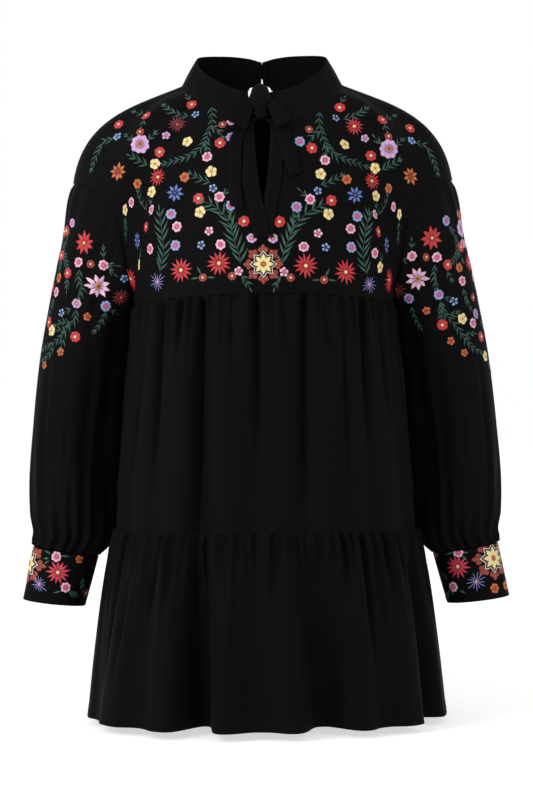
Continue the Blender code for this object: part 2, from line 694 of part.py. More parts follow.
def make_tie(collection, cloth, find):
    """The knot between the collar's ends, with two folded loops and two hanging ends."""
    shape = bmesh.new()
    bmesh.ops.create_uvsphere(shape, u_segments=14, v_segments=9, radius=1)
    for corner in shape.verts:
        high = corner.co.z
        narrow = 1 - (1 - KNOT_TOP_SHARE) * ease(high, 0.1, 1.0)
        square = 1 / max(abs(high), math.sqrt(1 - min(high * high, 0.99)), 0.75)
        wide = corner.co.x * KNOT_HALF.x * narrow * (square if abs(high) < 0.8 else 1)
        deep = corner.co.y * KNOT_HALF.y + high * KNOT_HALF.z * KNOT_LEAN
        corner.co = KNOT_CENTRE + Vector((wide, deep, high * KNOT_HALF.z))
    mesh = bpy.data.meshes.new("tie_knot")
    shape.to_mesh(mesh)
    shape.free()
    add_object("tie_knot", mesh, collection, cloth)

    for loop in LOOPS:
        drop = math.radians(loop.drop_degrees)
        along = Vector((math.cos(drop), -LOOP_FORWARD, -math.sin(drop))).normalized()
        across = Vector((math.sin(drop), 0.0, math.cos(drop)))
        ahead = along.cross(across).normalized()
        ahead = ahead if ahead.y < 0 else -ahead

        def ribbon(column, row, loop=loop, along=along, across=across, ahead=ahead):
            turn = row / LOOP_ROWS
            reach = math.sin(math.pi * turn)
            side = math.cos(math.pi * turn)
            aside = 2 * column / LOOP_CELLS - 1
            width = LOOP_ROOT_WIDTH + (loop.end_width - LOOP_ROOT_WIDTH) * reach**0.8
            gap = LOOP_HALF_GAP * (0.6 + 0.4 * reach)
            groove = LOOP_GROOVE * math.exp(-((aside / 0.3) ** 2)) * (1 - reach) * (side > 0)
            point = LOOP_ROOT + along * loop.length * reach + across * width / 2 * aside
            point += ahead * (gap * side - groove)
            return Vector((loop.side * point.x, point.y, point.z))

        mesh = grid_mesh(loop.name, LOOP_CELLS, LOOP_ROWS, ribbon)
        give_wall(add_object(loop.name, mesh, collection, cloth), RIBBON_WALL)

    for name, tail in (("tie_tail_right", TAIL_RIGHT), ("tie_tail_left", TAIL_LEFT)):
        rows = 2 * (len(tail) - 1)

        def place(column, row, tail=tail, rows=rows):
            z = tail[0].z + (tail[-1].z - tail[0].z) * row / rows
            at = read_table(tail, z)
            aside = column / PLACKET_CELLS
            x = at.inner + (at.outer - at.inner) * aside
            point, _ = find(x, z)
            point.y -= at.stand_off + 0.0008 * math.sin(math.pi * aside)
            point.z += TAIL_END_SLANT * (aside - 0.5) * row / rows
            return point

        mesh = grid_mesh(name, PLACKET_CELLS, rows, place)
        give_wall(add_object(name, mesh, collection, cloth), RIBBON_WALL)


def back_collar_point(up, off):
    """A point off the middle of the collar's wall at the back centre, and the way out there."""
    low, high = neck_point(180), collar_top_point(180)
    out = Vector((0, high.z - low.z, low.y - high.y)).normalized()
    bulge = Vector((0, COLLAR_BULGE * math.sin(math.pi * up), 0))
    return low.lerp(high, up) + bulge + out * off, out


def make_back_closing(collection, cloth, plastic):
    """A button outside the collar's back ends and a strip of cloth inside them."""
    centre, out = back_collar_point(BUTTON_UP, WALL / 2 + BUTTON_HALF_THICK + 2 * LAY_GAP)
    shape = bmesh.new()
    bmesh.ops.create_uvsphere(shape, u_segments=16, v_segments=8, radius=1)
    size = Matrix.Diagonal((BUTTON_RADIUS, BUTTON_RADIUS, BUTTON_HALF_THICK, 1))
    turned = out.to_track_quat("Z", "Y").to_matrix().to_4x4()
    shape.transform(Matrix.Translation(centre) @ turned @ size)
    mesh = bpy.data.meshes.new("back_button")
    shape.to_mesh(mesh)
    shape.free()
    add_object("back_button", mesh, collection, plastic)

    def place(column, row):
        up = TAB_TOP + (TAB_BOTTOM - TAB_TOP) * row / 4
        x = TAB_HALF_WIDTH * (column - 1)
        bow = x * x * COLLAR_TOP_BACK / COLLAR_TOP_HALF_WIDTH**2 / 2
        point, _ = back_collar_point(up, -(WALL + TAB_WALL) / 2 - 2 * LAY_GAP - bow)
        return point + Vector((x, 0, 0))

    mesh = grid_mesh("back_closure_tab", 2, 4, place)
    give_wall(add_object("back_closure_tab", mesh, collection, cloth), TAB_WALL)


def main():
    for old in list(bpy.data.objects):
        bpy.data.objects.remove(old, do_unlink=True)
    dress = bpy.data.collections.new("tiered_smock_dress")
    bpy.context.scene.collection.children.link(dress)
    cloth = material("black_crepe", (0.012, 0.011, 0.012), 0.85)
    plastic = material("black_button", (0.01, 0.01, 0.01), 0.35)
    make_tiers(dress, cloth)
    panels = make_yoke(dress, cloth)
    make_collar(dress, cloth)
    make_sleeves(dress, cloth)
    bpy.context.view_layer.update()
    find = surface_finder(panels[-1])
    make_placket(dress, cloth, find)
    make_tie(dress, cloth, find)
    make_back_closing(dress, cloth, plastic)


main()
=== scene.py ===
# %% [markdown]
# # A black smock dress with embroidered flowers
#
# The real dress is sewn from black crepe: a yoke that carries the embroidery, a stand collar
# with a tie, full sleeves on deep cuffs, and a skirt in two gathered tiers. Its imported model
# is the frame here. Each solid gives way to a finer shell of cloth that lies in the same place.

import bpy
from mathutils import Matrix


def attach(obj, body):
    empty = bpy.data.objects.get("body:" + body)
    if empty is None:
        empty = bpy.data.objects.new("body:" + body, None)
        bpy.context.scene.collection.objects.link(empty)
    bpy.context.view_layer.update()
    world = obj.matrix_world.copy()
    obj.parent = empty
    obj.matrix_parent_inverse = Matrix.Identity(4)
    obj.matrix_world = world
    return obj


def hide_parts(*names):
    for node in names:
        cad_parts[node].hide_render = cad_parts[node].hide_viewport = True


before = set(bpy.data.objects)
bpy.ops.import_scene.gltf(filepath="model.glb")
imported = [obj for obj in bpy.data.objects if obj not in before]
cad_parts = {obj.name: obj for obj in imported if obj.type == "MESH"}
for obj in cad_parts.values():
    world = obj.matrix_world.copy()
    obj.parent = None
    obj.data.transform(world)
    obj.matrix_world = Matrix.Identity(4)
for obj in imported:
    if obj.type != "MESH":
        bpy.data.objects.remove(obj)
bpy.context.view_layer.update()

# %% What the cells below use
import math
import random
from collections import namedtuple
from functools import partial

import bmesh
import bpy
from mathutils import Matrix, Vector
from mathutils.bvhtree import BVHTree

# %% [markdown]
# ## The studio
#
# The photo is a plain catalogue shot: level camera, white ground, light from all round. A white
# world gives that even light. Two large soft lamps in front only help the folds to read.
# The floor lies a little below the hem, because the dress is held up and doesn't stand.

# %% Camera, light and floor
CAMERA_PLACE = Vector((0.0025, -2.5, -0.394))
LENS_MM = 87.9
PHOTO_TURN = math.radians(0.47)
FLOOR_Z = -0.803
LAMPS_LOOK_AT = Vector((0, 0, -0.4))


def make_camera():
    camera = bpy.data.objects.new("camera", bpy.data.cameras.new("camera"))
    camera.data.sensor_fit = "VERTICAL"
    camera.data.sensor_height = 36
    camera.data.lens = LENS_MM
    camera.location = CAMERA_PLACE
    camera.rotation_euler = (math.radians(90), PHOTO_TURN, 0)
    bpy.context.scene.collection.objects.link(camera)
    bpy.context.scene.camera = camera


def make_lamp(name, place, size, watts):
    lamp = bpy.data.objects.new(name, bpy.data.lights.new(name, "AREA"))
    lamp.data.size = size
    lamp.data.energy = watts
    lamp.location = place
    lamp.rotation_euler = (LAMPS_LOOK_AT - Vector(place)).to_track_quat("-Z", "Y").to_euler()
    bpy.context.scene.collection.objects.link(lamp)


def make_world(strength):
    world = bpy.data.worlds.new("white studio")
    world.use_nodes = True
    world.node_tree.nodes["Background"].inputs["Color"].default_value = (1, 1, 1, 1)
    world.node_tree.nodes["Background"].inputs["Strength"].default_value = strength
    bpy.context.scene.world = world
    bpy.context.scene.view_settings.view_transform = "Standard"


make_camera()
make_lamp("key", (-1.8, -1.5, 0.7), 1.2, 50)
make_lamp("fill", (1.9, -1.6, 0.1), 1.6, 13)
make_world(1.0)
print(f"camera {-CAMERA_PLACE.y:.1f} m in front of the dress, lens {LENS_MM} mm")

# %% [markdown]
# ## Materials as short sums
#
# A small class wraps one socket of a material's nodes, so that sums on it read as arithmetic.
# One method adds every other node. Crepe is a matt cloth with a fine pebbled face and faint
# upright streaks from its twisted yarn. Embroidery thread shines a little, and its strands
# lie side by side, so its relief follows the direction of the stitches.


# %% A socket that can be added and multiplied
class Dye:
    """The outlet of one node, which counts like a number."""

    def __init__(self, recipe, socket):
        self.recipe = recipe
        self.socket = socket

    def sum_with(self, operation, other, swapped=False):
        first, second = (other, self) if swapped else (self, other)
        return self.recipe.node("ShaderNodeMath", {"operation": operation}, {0: first, 1: second})

    def __add__(self, other):
        return self.sum_with("ADD", other)

    def __radd__(self, other):
        return self.sum_with("ADD", other, True)

    def __mul__(self, other):
        return self.sum_with("MULTIPLY", other)

    def __rmul__(self, other):
        return self.sum_with("MULTIPLY", other, True)

    def wave(self):
        """Its sine, for stripes."""
        return self.recipe.node("ShaderNodeMath", {"operation": "SINE"}, {0: self})


# %% A material's nodes
class Recipe:
    """One material. node() adds every node but the first."""

    def __init__(self, name):
        self.material = bpy.data.materials.new(name)
        self.material.use_nodes = True
        self.nodes = self.material.node_tree.nodes
        self.links = self.material.node_tree.links
        self.shader = self.nodes["Principled BSDF"]

    def put(self, socket, value):
        """A link where the value is a dye, and otherwise a constant on the socket."""
        if isinstance(value, Dye):
            self.links.new(value.socket, socket)
        else:
            socket.default_value = value

    def node(self, kind, settings=None, sockets=None, out=0):
        made = self.nodes.new(kind)
        for name, value in (settings or {}).items():
            setattr(made, name, value)
        for name, value in (sockets or {}).items():
            self.put(made.inputs[name], value)
        return Dye(self, made.outputs[out])

    def blend(self, share, first, second):
        colours = {0: share, 6: first, 7: second}
        return self.node("ShaderNodeMix", {"data_type": "RGBA"}, colours, out=2)

    def noise(self, where, scale, detail):
        return self.node("ShaderNodeTexNoise", None, {"Vector": where, "Scale": scale, "Detail": detail})

    def relief(self, height, distance, strength):
        raised = {"Height": height, "Distance": distance, "Strength": strength}
        self.put(self.shader.inputs["Normal"], self.node("ShaderNodeBump", None, raised))

    def feed(self, **values):
        for name, value in values.items():
            self.put(self.shader.inputs[name.replace("_", " ")], value)
        return self.material


# %% Crepe, thread and button
def make_crepe():
    crepe = Recipe("black_crepe_cloth")
    where = crepe.node("ShaderNodeTexCoord", out="Object")
    long_ways = {0: where, 1: (1.0, 1.0, 0.07)}
    drawn = crepe.node("ShaderNodeVectorMath", {"operation": "MULTIPLY"}, long_ways)
    pebble = crepe.noise(where, 1300.0, 2.0)
    streaks = crepe.noise(drawn, 520.0, 2.0)
    worn = crepe.noise(where, 14.0, 2.0)
    crepe.relief(pebble * 0.7 + streaks * 0.6, 0.00016, 0.6)
    mottle = pebble * 0.5 + streaks * 0.3 + worn * 0.2
    tone = crepe.blend(mottle, (0.0008, 0.0007, 0.0008, 1), (0.0026, 0.0024, 0.0025, 1))
    crepe.feed(Sheen_Weight=0.006, Sheen_Roughness=0.45, Specular_IOR_Level=0.04)
    return crepe.feed(Base_Color=tone, Roughness=0.66 + pebble * 0.2)


# millimetres from one strand of thread to the next
STRAND_MM = 0.42
# a patch of thread keeps its lay in centimetres, so that it stays a small number
LAY_UNIT_MM = 10


def make_thread():
    yarn = Recipe("embroidery_thread")
    dyed = yarn.node("ShaderNodeAttribute", {"attribute_name": "thread_colour"}, out="Color")
    lay = yarn.node("ShaderNodeAttribute", {"attribute_name": "stitch_lay"}, out="Vector")
    across = yarn.node("ShaderNodeSeparateXYZ", None, {0: lay})
    strand = (across * (2 * math.pi * LAY_UNIT_MM / STRAND_MM)).wave() * 0.5 + 0.5
    shadow = yarn.node("ShaderNodeVectorMath", {"operation": "SCALE"}, {0: dyed, "Scale": 0.6})
    yarn.relief(strand, 0.00010, 0.6)
    tone = yarn.blend(strand * 0.75 + 0.25, shadow, dyed)
    yarn.feed(Specular_IOR_Level=0.35)
    return yarn.feed(Base_Color=tone, Roughness=0.42 + strand * 0.1)


def make_button_plastic():
    plastic = Recipe("black_button_plastic")
    where = plastic.node("ShaderNodeTexCoord", out="Object")
    haze = plastic.noise(where, 600.0, 2.0)
    tone = plastic.blend(haze, (0.006, 0.006, 0.006, 1), (0.011, 0.011, 0.011, 1))
    plastic.relief(haze, 0.00005, 0.3)
    return plastic.feed(Base_Color=tone, Roughness=0.25 + haze * 0.15)


def make_sewing_thread():
    sewing = Recipe("black_sewing_thread")
    where = sewing.node("ShaderNodeTexCoord", out="Object")
    twist = sewing.noise(where, 2500.0, 1.0)
    sewing.feed(Specular_IOR_Level=0.07)
    tone = sewing.blend(twist, (0.0012, 0.0011, 0.0012, 1), (0.0034, 0.0032, 0.0033, 1))
    return sewing.feed(Base_Color=tone, Roughness=0.55 + twist * 0.1)


def make_floor_paint():
    paint = Recipe("pale_floor")
    where = paint.node("ShaderNodeTexCoord", out="Object")
    tone = paint.blend(paint.noise(where, 3.0, 1.0), (0.40, 0.40, 0.40, 1), (0.42, 0.42, 0.42, 1))
    paint.feed(Emission_Color=(1.0, 1.0, 1.0, 1), Emission_Strength=0.62, Specular_IOR_Level=0.0)
    return paint.feed(Base_Color=tone, Roughness=0.9)


CREPE = make_crepe()
THREAD = make_thread()
PLASTIC = make_button_plastic()
SEWING = make_sewing_thread()
print("materials:", ", ".join(made.name for made in (CREPE, THREAD, PLASTIC, SEWING)))


# %% The floor
def mesh_of(shape, name, material=None):
    """The mesh of a finished bmesh. With a material it is smooth and ready to show."""
    mesh = bpy.data.meshes.new(name)
    shape.to_mesh(mesh)
    shape.free()
    if material:
        mesh.polygons.foreach_set("use_smooth", [True] * len(mesh.polygons))
        mesh.materials.append(material)
    return mesh


def show(name, mesh):
    made = bpy.data.objects.new(name, mesh)
    bpy.context.scene.collection.objects.link(made)
    return made


def make_floor():
    shape = bmesh.new()
    bmesh.ops.create_circle(shape, cap_ends=True, segments=64, radius=14)
    bmesh.ops.translate(shape, verts=shape.verts, vec=(0, 0, FLOOR_Z))
    show("floor", mesh_of(shape, "floor", make_floor_paint()))


make_floor()

# %% [markdown]
# ## The shape of the dress in numbers
#
# A pattern cutter knows a dress by a few sections and seam lines. The tables below hold them
# in metres, and a smooth curve runs through each table. The solids were made from nearly the
# same numbers, so the finer shells here lie on them.

# %% Smooth tables
table_cache = {}


def read_table(rows, at):
    """One row between a table's rows, on a smooth curve through them. The first column leads."""
    key = (id(rows), round(at, 7))
    if key in table_cache:
        return table_cache[key]
    keys = [row[0] for row in rows]
    step = 1 if keys[-1] > keys[0] else -1
    at = step * min(max(step * at, step * keys[0]), step * keys[-1])
    i = max(k for k in range(len(rows) - 1) if step * keys[k] <= step * at or k == 0)
    span = keys[i + 1] - keys[i]
    t = (at - keys[i]) / span

    def slope(k, column):
        low, high = max(k - 1, 0), min(k + 1, len(rows) - 1)
        return (rows[high][column] - rows[low][column]) / (keys[high] - keys[low])

    out = [at]
    for column in range(1, len(rows[0])):
        start = rows[i][column] * (1 + 2 * t) * (1 - t) ** 2 + slope(i, column) * span * t * (1 - t) ** 2
        end = rows[i + 1][column] * t * t * (3 - 2 * t) - slope(i + 1, column) * span * t * t * (1 - t)
        out.append(start + end)
    table_cache[key] = out
    return out


def ease(value, low, high):
    """0 below low, 1 above high, and smooth between."""
    t = min(max((value - low) / (high - low), 0.0), 1.0)
    return t * t * (3 - 2 * t)


# %% Levels and sections of the body
WALL = 0.0012
SEAM_GAP = 0.0004
YOKE_SEAM_Z = -0.2645
TIER_SEAM_Z = -0.5560
HEM_Z = -0.7930
# level, half width, reach to the front, reach to the back
TIER_SECTIONS = (
    (-0.2645, 0.1650, 0.1290, 0.1130),
    (-0.3050, 0.1705, 0.1360, 0.1190),
    (-0.3700, 0.1765, 0.1420, 0.1270),
    (-0.4600, 0.1835, 0.1490, 0.1370),
    (-0.5560, 0.1905, 0.1560, 0.1460),
)
RUFFLE_SECTIONS = (
    (-0.5560, 0.1910, 0.1560, 0.1460),
    (-0.5750, 0.1970, 0.1610, 0.1510),
    (-0.6300, 0.2082, 0.1650, 0.1570),
    (-0.7100, 0.2192, 0.1690, 0.1640),
    (-0.7930, 0.2282, 0.1720, 0.1700),
)
print(f"hem {2 * RUFFLE_SECTIONS[-1][1]:.3f} m wide, tier seam {2 * TIER_SECTIONS[-1][1]:.3f} m wide")


def body_point(angle, section, z):
    """A point on a level section of the body, and the direction that faces out there."""
    s, c = math.sin(angle), math.cos(angle)
    depth = section[2] if c > 0 else section[3]
    full = 1 + 0.04 * math.sin(2 * angle) ** 2
    out = Vector((s * depth, -c * section[1], 0)).normalized()
    return Vector((section[1] * s * full, -depth * c * full, z)), out


def angle_round(turn, seed):
    """The angle at a share of the way round, so that gathers are unevenly spaced."""
    uneven = 0.040 * math.sin(12 * math.pi * turn) + 0.014 * seed * (1 - math.cos(8 * math.pi * turn))
    return 2 * math.pi * turn + uneven


def seam_dip(angle):
    """The yoke seam lies lower at the sides than at the centres."""
    return 0.0090 * math.sin(angle) ** 2


# %% [markdown]
# ## Folds and gathers
#
# Gathering crowds more cloth into a seam than the seam is long. Small waves start there, each
# with its own height and length, and below them the cloth hangs in a few long soft folds.
# Simulating that takes minutes and drifts from the photo, so the folds are placed one by one:
# each is a trough at an angle round the body, with its width and its depth. The solids have
# the long folds and as many gathers. The sharper creases are only here.

# %% Long folds: angle, half width in degrees, depth at the top and at the bottom
TIER_FOLDS = (
    (-62, 6, 0.001, 0.005), (-44, 5, 0.002, 0.006), (-25, 5, 0.003, 0.014), (-4, 6, 0.004, 0.008),
    (15, 6, 0.004, 0.009), (29, 4, 0.002, 0.004), (42, 5, 0.002, 0.006), (64, 6, 0.002, 0.007),
    (112, 7, 0.003, 0.009), (138, 5, 0.003, 0.007), (163, 6, 0.003, 0.011), (-171, 5, 0.002, 0.006),
    (-146, 6, 0.003, 0.010), (-118, 6, 0.002, 0.008),
)
RUFFLE_FOLDS = (
    (-113, 6, 0.0, 0.032), (-70, 6, 0.0, 0.008), (-44, 6, 0.0, 0.013), (-23, 5.2, 0.0, 0.055),
    (-2, 7, 0.0, 0.016), (20, 7.0, 0.0, 0.048), (40, 6, 0.0, 0.014), (64, 6.0, 0.0, 0.040),
    (110, 6, 0.0, 0.034), (135, 7, 0.0, 0.026), (160, 6, 0.0, 0.038), (-172, 7, 0.0, 0.020),
    (-150, 6, 0.0, 0.040), (-132, 6, 0.0, 0.020),
)
# Creases: angle above and below, share down where it starts and ends, half width, depth
Crease = namedtuple("Crease", "above below start end spread depth")
TIER_CREASES = (
    Crease(-57, -66, 0.10, 0.98, 2.6, 0.0048), Crease(-46, -47, 0.00, 1.00, 2.2, 0.0046),
    Crease(-36, -37, 0.00, 0.30, 1.8, 0.0026), Crease(-27, -26, 0.00, 1.30, 3.2, 0.0068),
    Crease(-14, -13, 0.00, 0.34, 2.0, 0.0040), Crease(-2, -3, 0.00, 0.90, 1.8, 0.0036),
    Crease(8, 9, 0.00, 0.26, 1.9, 0.0030), Crease(17, 15, 0.00, 1.15, 2.4, 0.0046),
    Crease(26, 27, 0.00, 0.30, 1.7, 0.0028), Crease(34, 33, 0.02, 1.10, 2.4, 0.0036),
    Crease(44, 43, 0.00, 0.85, 2.2, 0.0034), Crease(55, 58, 0.00, 0.70, 2.6, 0.0040),
    Crease(76, 78, 0.05, 0.60, 2.4, 0.0028), Crease(-78, -80, 0.05, 0.70, 2.6, 0.0030),
    Crease(104, 106, 0.00, 0.50, 2.2, 0.0034), Crease(122, 120, 0.00, 0.75, 2.4, 0.0036),
    Crease(131, 132, 0.00, 0.30, 1.8, 0.0026), Crease(150, 148, 0.00, 0.62, 2.1, 0.0038),
    Crease(171, 172, 0.00, 0.45, 2.0, 0.0032), Crease(-160, -158, 0.00, 0.85, 2.4, 0.0040),
    Crease(-137, -139, 0.00, 0.40, 1.9, 0.0030), Crease(-126, -125, 0.00, 0.90, 2.3, 0.0034),
    Crease(-106, -104, 0.00, 0.55, 2.2, 0.0030),
)
RUFFLE_CREASES = (
    Crease(-61, -66, 0.00, 0.95, 2.4, 0.0048), Crease(-52, -56, 0.05, 0.85, 2.0, 0.0034),
    Crease(-41, -43, 0.00, 0.60, 1.9, 0.0040), Crease(-33, -34, 0.00, 0.42, 1.7, 0.0034),
    Crease(-14, -13, 0.00, 0.46, 1.8, 0.0034), Crease(-7, -6, 0.00, 0.30, 1.5, 0.0026),
    Crease(5, 5, 0.00, 0.36, 1.6, 0.0030), Crease(12, 12, 0.00, 0.50, 1.8, 0.0034),
    Crease(29, 30, 0.00, 0.48, 1.8, 0.0036), Crease(36, 37, 0.00, 0.80, 2.0, 0.0038),
    Crease(47, 49, 0.00, 0.55, 1.8, 0.0034), Crease(55, 55, 0.00, 0.40, 1.8, 0.0030),
    Crease(75, 78, 0.00, 0.60, 2.2, 0.0036), Crease(-80, -84, 0.00, 0.75, 2.2, 0.0040),
    Crease(-98, -100, 0.00, 0.50, 2.0, 0.0034), Crease(98, 99, 0.00, 0.50, 2.0, 0.0034),
    Crease(122, 124, 0.00, 0.60, 1.9, 0.0036), Crease(147, 148, 0.00, 0.50, 1.8, 0.0034),
    Crease(174, 172, 0.00, 0.55, 2.0, 0.0036), Crease(-162, -162, 0.00, 0.45, 1.8, 0.0034),
    Crease(-141, -140, 0.00, 0.55, 1.9, 0.0036), Crease(-122, -123, 0.00, 0.60, 1.9, 0.0034),
)


def degrees_off(angle, middle):
    return (math.degrees(angle) - middle + 180) % 360 - 180


def fold_depth(folds, angle, down, sharpness):
    """How far the cloth sinks in at an angle, all folds together."""
    total = 0.0
    for middle, spread, top, bottom in folds:
        off = abs(degrees_off(angle, middle) / spread)
        if off < 2.5:
            total += (top + (bottom - top) * down) * math.exp(-(off**sharpness))
    return total


def crease_depth(creases, angle, down):
    total = 0.0
    for crease in creases:
        if crease.start <= down <= crease.end:
            along = (down - crease.start) / (crease.end - crease.start)
            off = degrees_off(angle, crease.above + (crease.below - crease.above) * along)
            if abs(off) < 3 * crease.spread:
                fade = 1 - ease(along, 0.45, 1.0)
                fade *= ease(along, 0.0, 0.25) if crease.start > 0 else 1
                total += 2.1 * crease.depth * fade * math.exp(-(abs(1.25 * off / crease.spread) ** 1.5))
    return total


print(len(TIER_FOLDS), "folds and", len(TIER_CREASES), "creases on the upper tier")
print(len(RUFFLE_FOLDS), "folds and", len(RUFFLE_CREASES), "creases on the hem tier")


# %% Gathers: a seeded height, length and lean for each small wave
chance = random.Random(23)
YOKE_GATHERS = 60
TIER_GATHERS = 68
Gather = namedtuple("Gather", "height reach lean")


def draw_gathers(count):
    return [Gather(chance.uniform(0.45, 1.35), chance.uniform(0.55, 1.75), chance.uniform(-0.5, 0.5))
            for _ in range(count)]


YOKE_GATHER_LIST = draw_gathers(YOKE_GATHERS)
TIER_GATHER_LIST = draw_gathers(TIER_GATHERS)


def side_calm(turn):
    """0 on the side seams, which hold the cloth flat, and 1 away from them."""
    off = min(abs((turn - 0.25) % 1), 1 - abs((turn - 0.25) % 1))
    off = min(off, abs(off - 0.5))
    return ease(off, 0.0, 0.030)


def gather_height(turn, gathers, down, length):
    """The small waves below a gathered seam."""
    place = (turn % 1) * len(gathers)
    here = gathers[int(place) % len(gathers)]
    there = gathers[(int(place) + 1) % len(gathers)]
    share = ease(place % 1, 0.0, 1.0)
    height = here.height + (there.height - here.height) * share
    reach = length * (here.reach + (there.reach - here.reach) * share)
    lean = here.lean + (there.lean - here.lean) * share
    phase = 2 * math.pi * place + lean * math.sin(2 * math.pi * place + 1.0)
    fade = math.exp(-((max(down, 0.0) / reach) ** 1.3))
    fine = 0.22 * math.cos(2 * phase + 4 * lean) * math.exp(-((down / (0.35 * reach)) ** 2))
    rise = 0.0024 + 0.0016 * ease(down, 0.004, 0.03)
    return rise * height * fade * side_calm(turn) * (math.cos(phase) + fine)


# %% Points of the two tiers
TUCK = 0.0026


def tuck_in(down):
    """How far a gathered top edge turns in behind the seam above it."""
    return TUCK * ease(-down, 0.0, 0.010) + 0.0009 * math.exp(-((down / 0.006) ** 2))


def tier_point(turn, down):
    angle = angle_round(turn, 1)
    z = YOKE_SEAM_Z + (TIER_SEAM_Z - YOKE_SEAM_Z) * down
    point, out = body_point(angle, read_table(TIER_SECTIONS, z), z)
    point.z -= seam_dip(angle) * (1 - down)
    sink = fold_depth(TIER_FOLDS, angle, down, 2) * ease(down, 0.0, 0.12)
    sink += crease_depth(TIER_CREASES, angle, down) * side_calm(turn) * ease(down, 0.0, 0.03)
    roll = 0.0008 * math.exp(-(((1 - down) / 0.006) ** 2))
    wave = gather_height(turn, YOKE_GATHER_LIST, down, 0.17) * (1 - 0.5 * ease(-down, 0.0, 0.01))
    return point + out * (wave - sink - tuck_in(down) - roll)


def ruffle_point(turn, down):
    angle = angle_round(turn, -1)
    z = TIER_SEAM_Z + (HEM_Z - TIER_SEAM_Z) * down
    point, out = body_point(angle, read_table(RUFFLE_SECTIONS, z), z)
    sink = fold_depth(TIER_FOLDS, angle, 1.0, 2) * (1 - max(down, 0.0))
    sink += fold_depth(RUFFLE_FOLDS, angle, max(down, 0.0) ** 0.8, 2.8) * ease(down, 0.0, 0.25)
    sink += crease_depth(RUFFLE_CREASES, angle, down) * side_calm(turn) * ease(down, 0.0, 0.03)
    wave = gather_height(turn, TIER_GATHER_LIST, down, 0.24) * (1 - 0.5 * ease(-down, 0.0, 0.01))
    hem_fold = 0.0005 * ease(down, 0.940, 0.955)
    return point + out * (wave - sink - tuck_in(down) + hem_fold)


# %% [markdown]
# ## From a grid to a piece of cloth
#
# Each panel starts as a flat grid, like cloth on the cutting table. A function then says where
# every corner of it lies on the worn dress. The wall gets its thickness with Solidify, which is
# applied at once, so that the finished mesh has crisp edges and can be stitched on.


# %% Grid, wall and finish
def grid_mesh(name, across, down, place, closed=False):
    """A grid with every corner where place(column, row) says. A closed one is a tube."""
    shape = bmesh.new()
    bmesh.ops.create_grid(shape, x_segments=across, y_segments=down, size=0.5)
    for corner in shape.verts:
        column = round((corner.co.x + 0.5) * across)
        row = round((corner.co.y + 0.5) * down)
        corner.co = place(column, row)
    if closed:
        bmesh.ops.remove_doubles(shape, verts=shape.verts, dist=1e-6)
        bmesh.ops.recalc_face_normals(shape, faces=shape.faces)
    return mesh_of(shape, name)


def make_cloth(solid, mesh, wall=WALL, mirror=False):
    """A wall of cloth on the mesh, ready on the frame in place of the solid of that name."""
    name = f"{solid}_cloth"
    made = show(name, mesh)
    if mirror:
        other_half = made.modifiers.new("other half", "MIRROR")
        other_half.merge_threshold = 1e-5
    thickness = made.modifiers.new("wall", "SOLIDIFY")
    thickness.thickness = wall
    thickness.offset = 0
    thickness.use_even_offset = True
    thickness.use_quality_normals = True
    bpy.context.view_layer.update()
    worked_out = made.evaluated_get(bpy.context.evaluated_depsgraph_get())
    finished = bpy.data.meshes.new_from_object(worked_out)
    made.modifiers.clear()
    made.data = finished
    bpy.data.meshes.remove(mesh)
    finished.name = name
    finished.polygons.foreach_set("use_smooth", [True] * len(finished.polygons))
    finished.set_sharp_from_angle(angle=math.radians(60))
    finished.materials.clear()
    finished.materials.append(CREPE)
    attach(made, "root")
    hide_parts(solid)
    area = sum(face.area for face in finished.polygons) / 2
    print(f"{name}: {len(finished.polygons)} faces, {area:.4f} square metres of cloth")
    return made


def make_cloths(pieces, cells, rows, point, wall=WALL):
    """One cloth for each name and table. point(table, u, v) lays it out, u across and v along."""
    for name, table in pieces:

        def place(column, row):
            return point(table, column / cells, row / rows)

        make_cloth(name, grid_mesh(name, cells, rows, place), wall)


# %% The two tiers
SKIRT_CELLS = 10 * YOKE_GATHERS // 2
RUFFLE_CELLS = 10 * TIER_GATHERS // 2
SKIRT_ROWS = 56
RUFFLE_ROWS = 50
TUCK_ROWS = 3
TUCK_DOWN = -0.018


def row_down(row, rows, last):
    """Rows lie closer together near the gathered seam. The first few are the turned-in edge."""
    if row < TUCK_ROWS:
        return TUCK_DOWN * (1 - row / TUCK_ROWS)
    share = (row - TUCK_ROWS) / (rows - TUCK_ROWS)
    return 0.0014 + (last - 0.0014) * share**1.35


def make_tiers():
    made = {}
    for name, cells, rows, point, last in (
        ("skirt", SKIRT_CELLS, SKIRT_ROWS, tier_point, 1 - 0.0007),
        ("ruffle", RUFFLE_CELLS, RUFFLE_ROWS, ruffle_point, 1.0),
    ):
        for side, start in (("front", -0.25), ("back", 0.25)):

            def place(column, row):
                at = point(start + column / (2 * cells), row_down(row, rows, last))
                if column in (0, cells):
                    at.y += SEAM_GAP / 2 * (-1 if start < 0 else 1)
                return at

            solid = f"{name}_{side}"
            made[name, side] = make_cloth(solid, grid_mesh(solid, cells, rows, place))
    return made


tiers = make_tiers()

# %% [markdown]
# ## The yoke
#
# A yoke is the smooth upper part that the skirt hangs from. Seen from above it fans out from
# the neck, so its grid runs along spokes: each is a curve from the neckline to the outer edge,
# bent by a handle at either end. Half of each panel is made, and a mirror gives the other.

# %% Neckline and armhole
# degrees from the front centre, level of the collar's upper edge
COLLAR_TOP = (
    (0, -0.0110), (25, -0.0030), (45, 0.0095), (60, 0.0205), (75, 0.0315),
    (90, 0.0415), (118, 0.0495), (150, 0.0528), (168, 0.0508), (180, 0.0460),
)
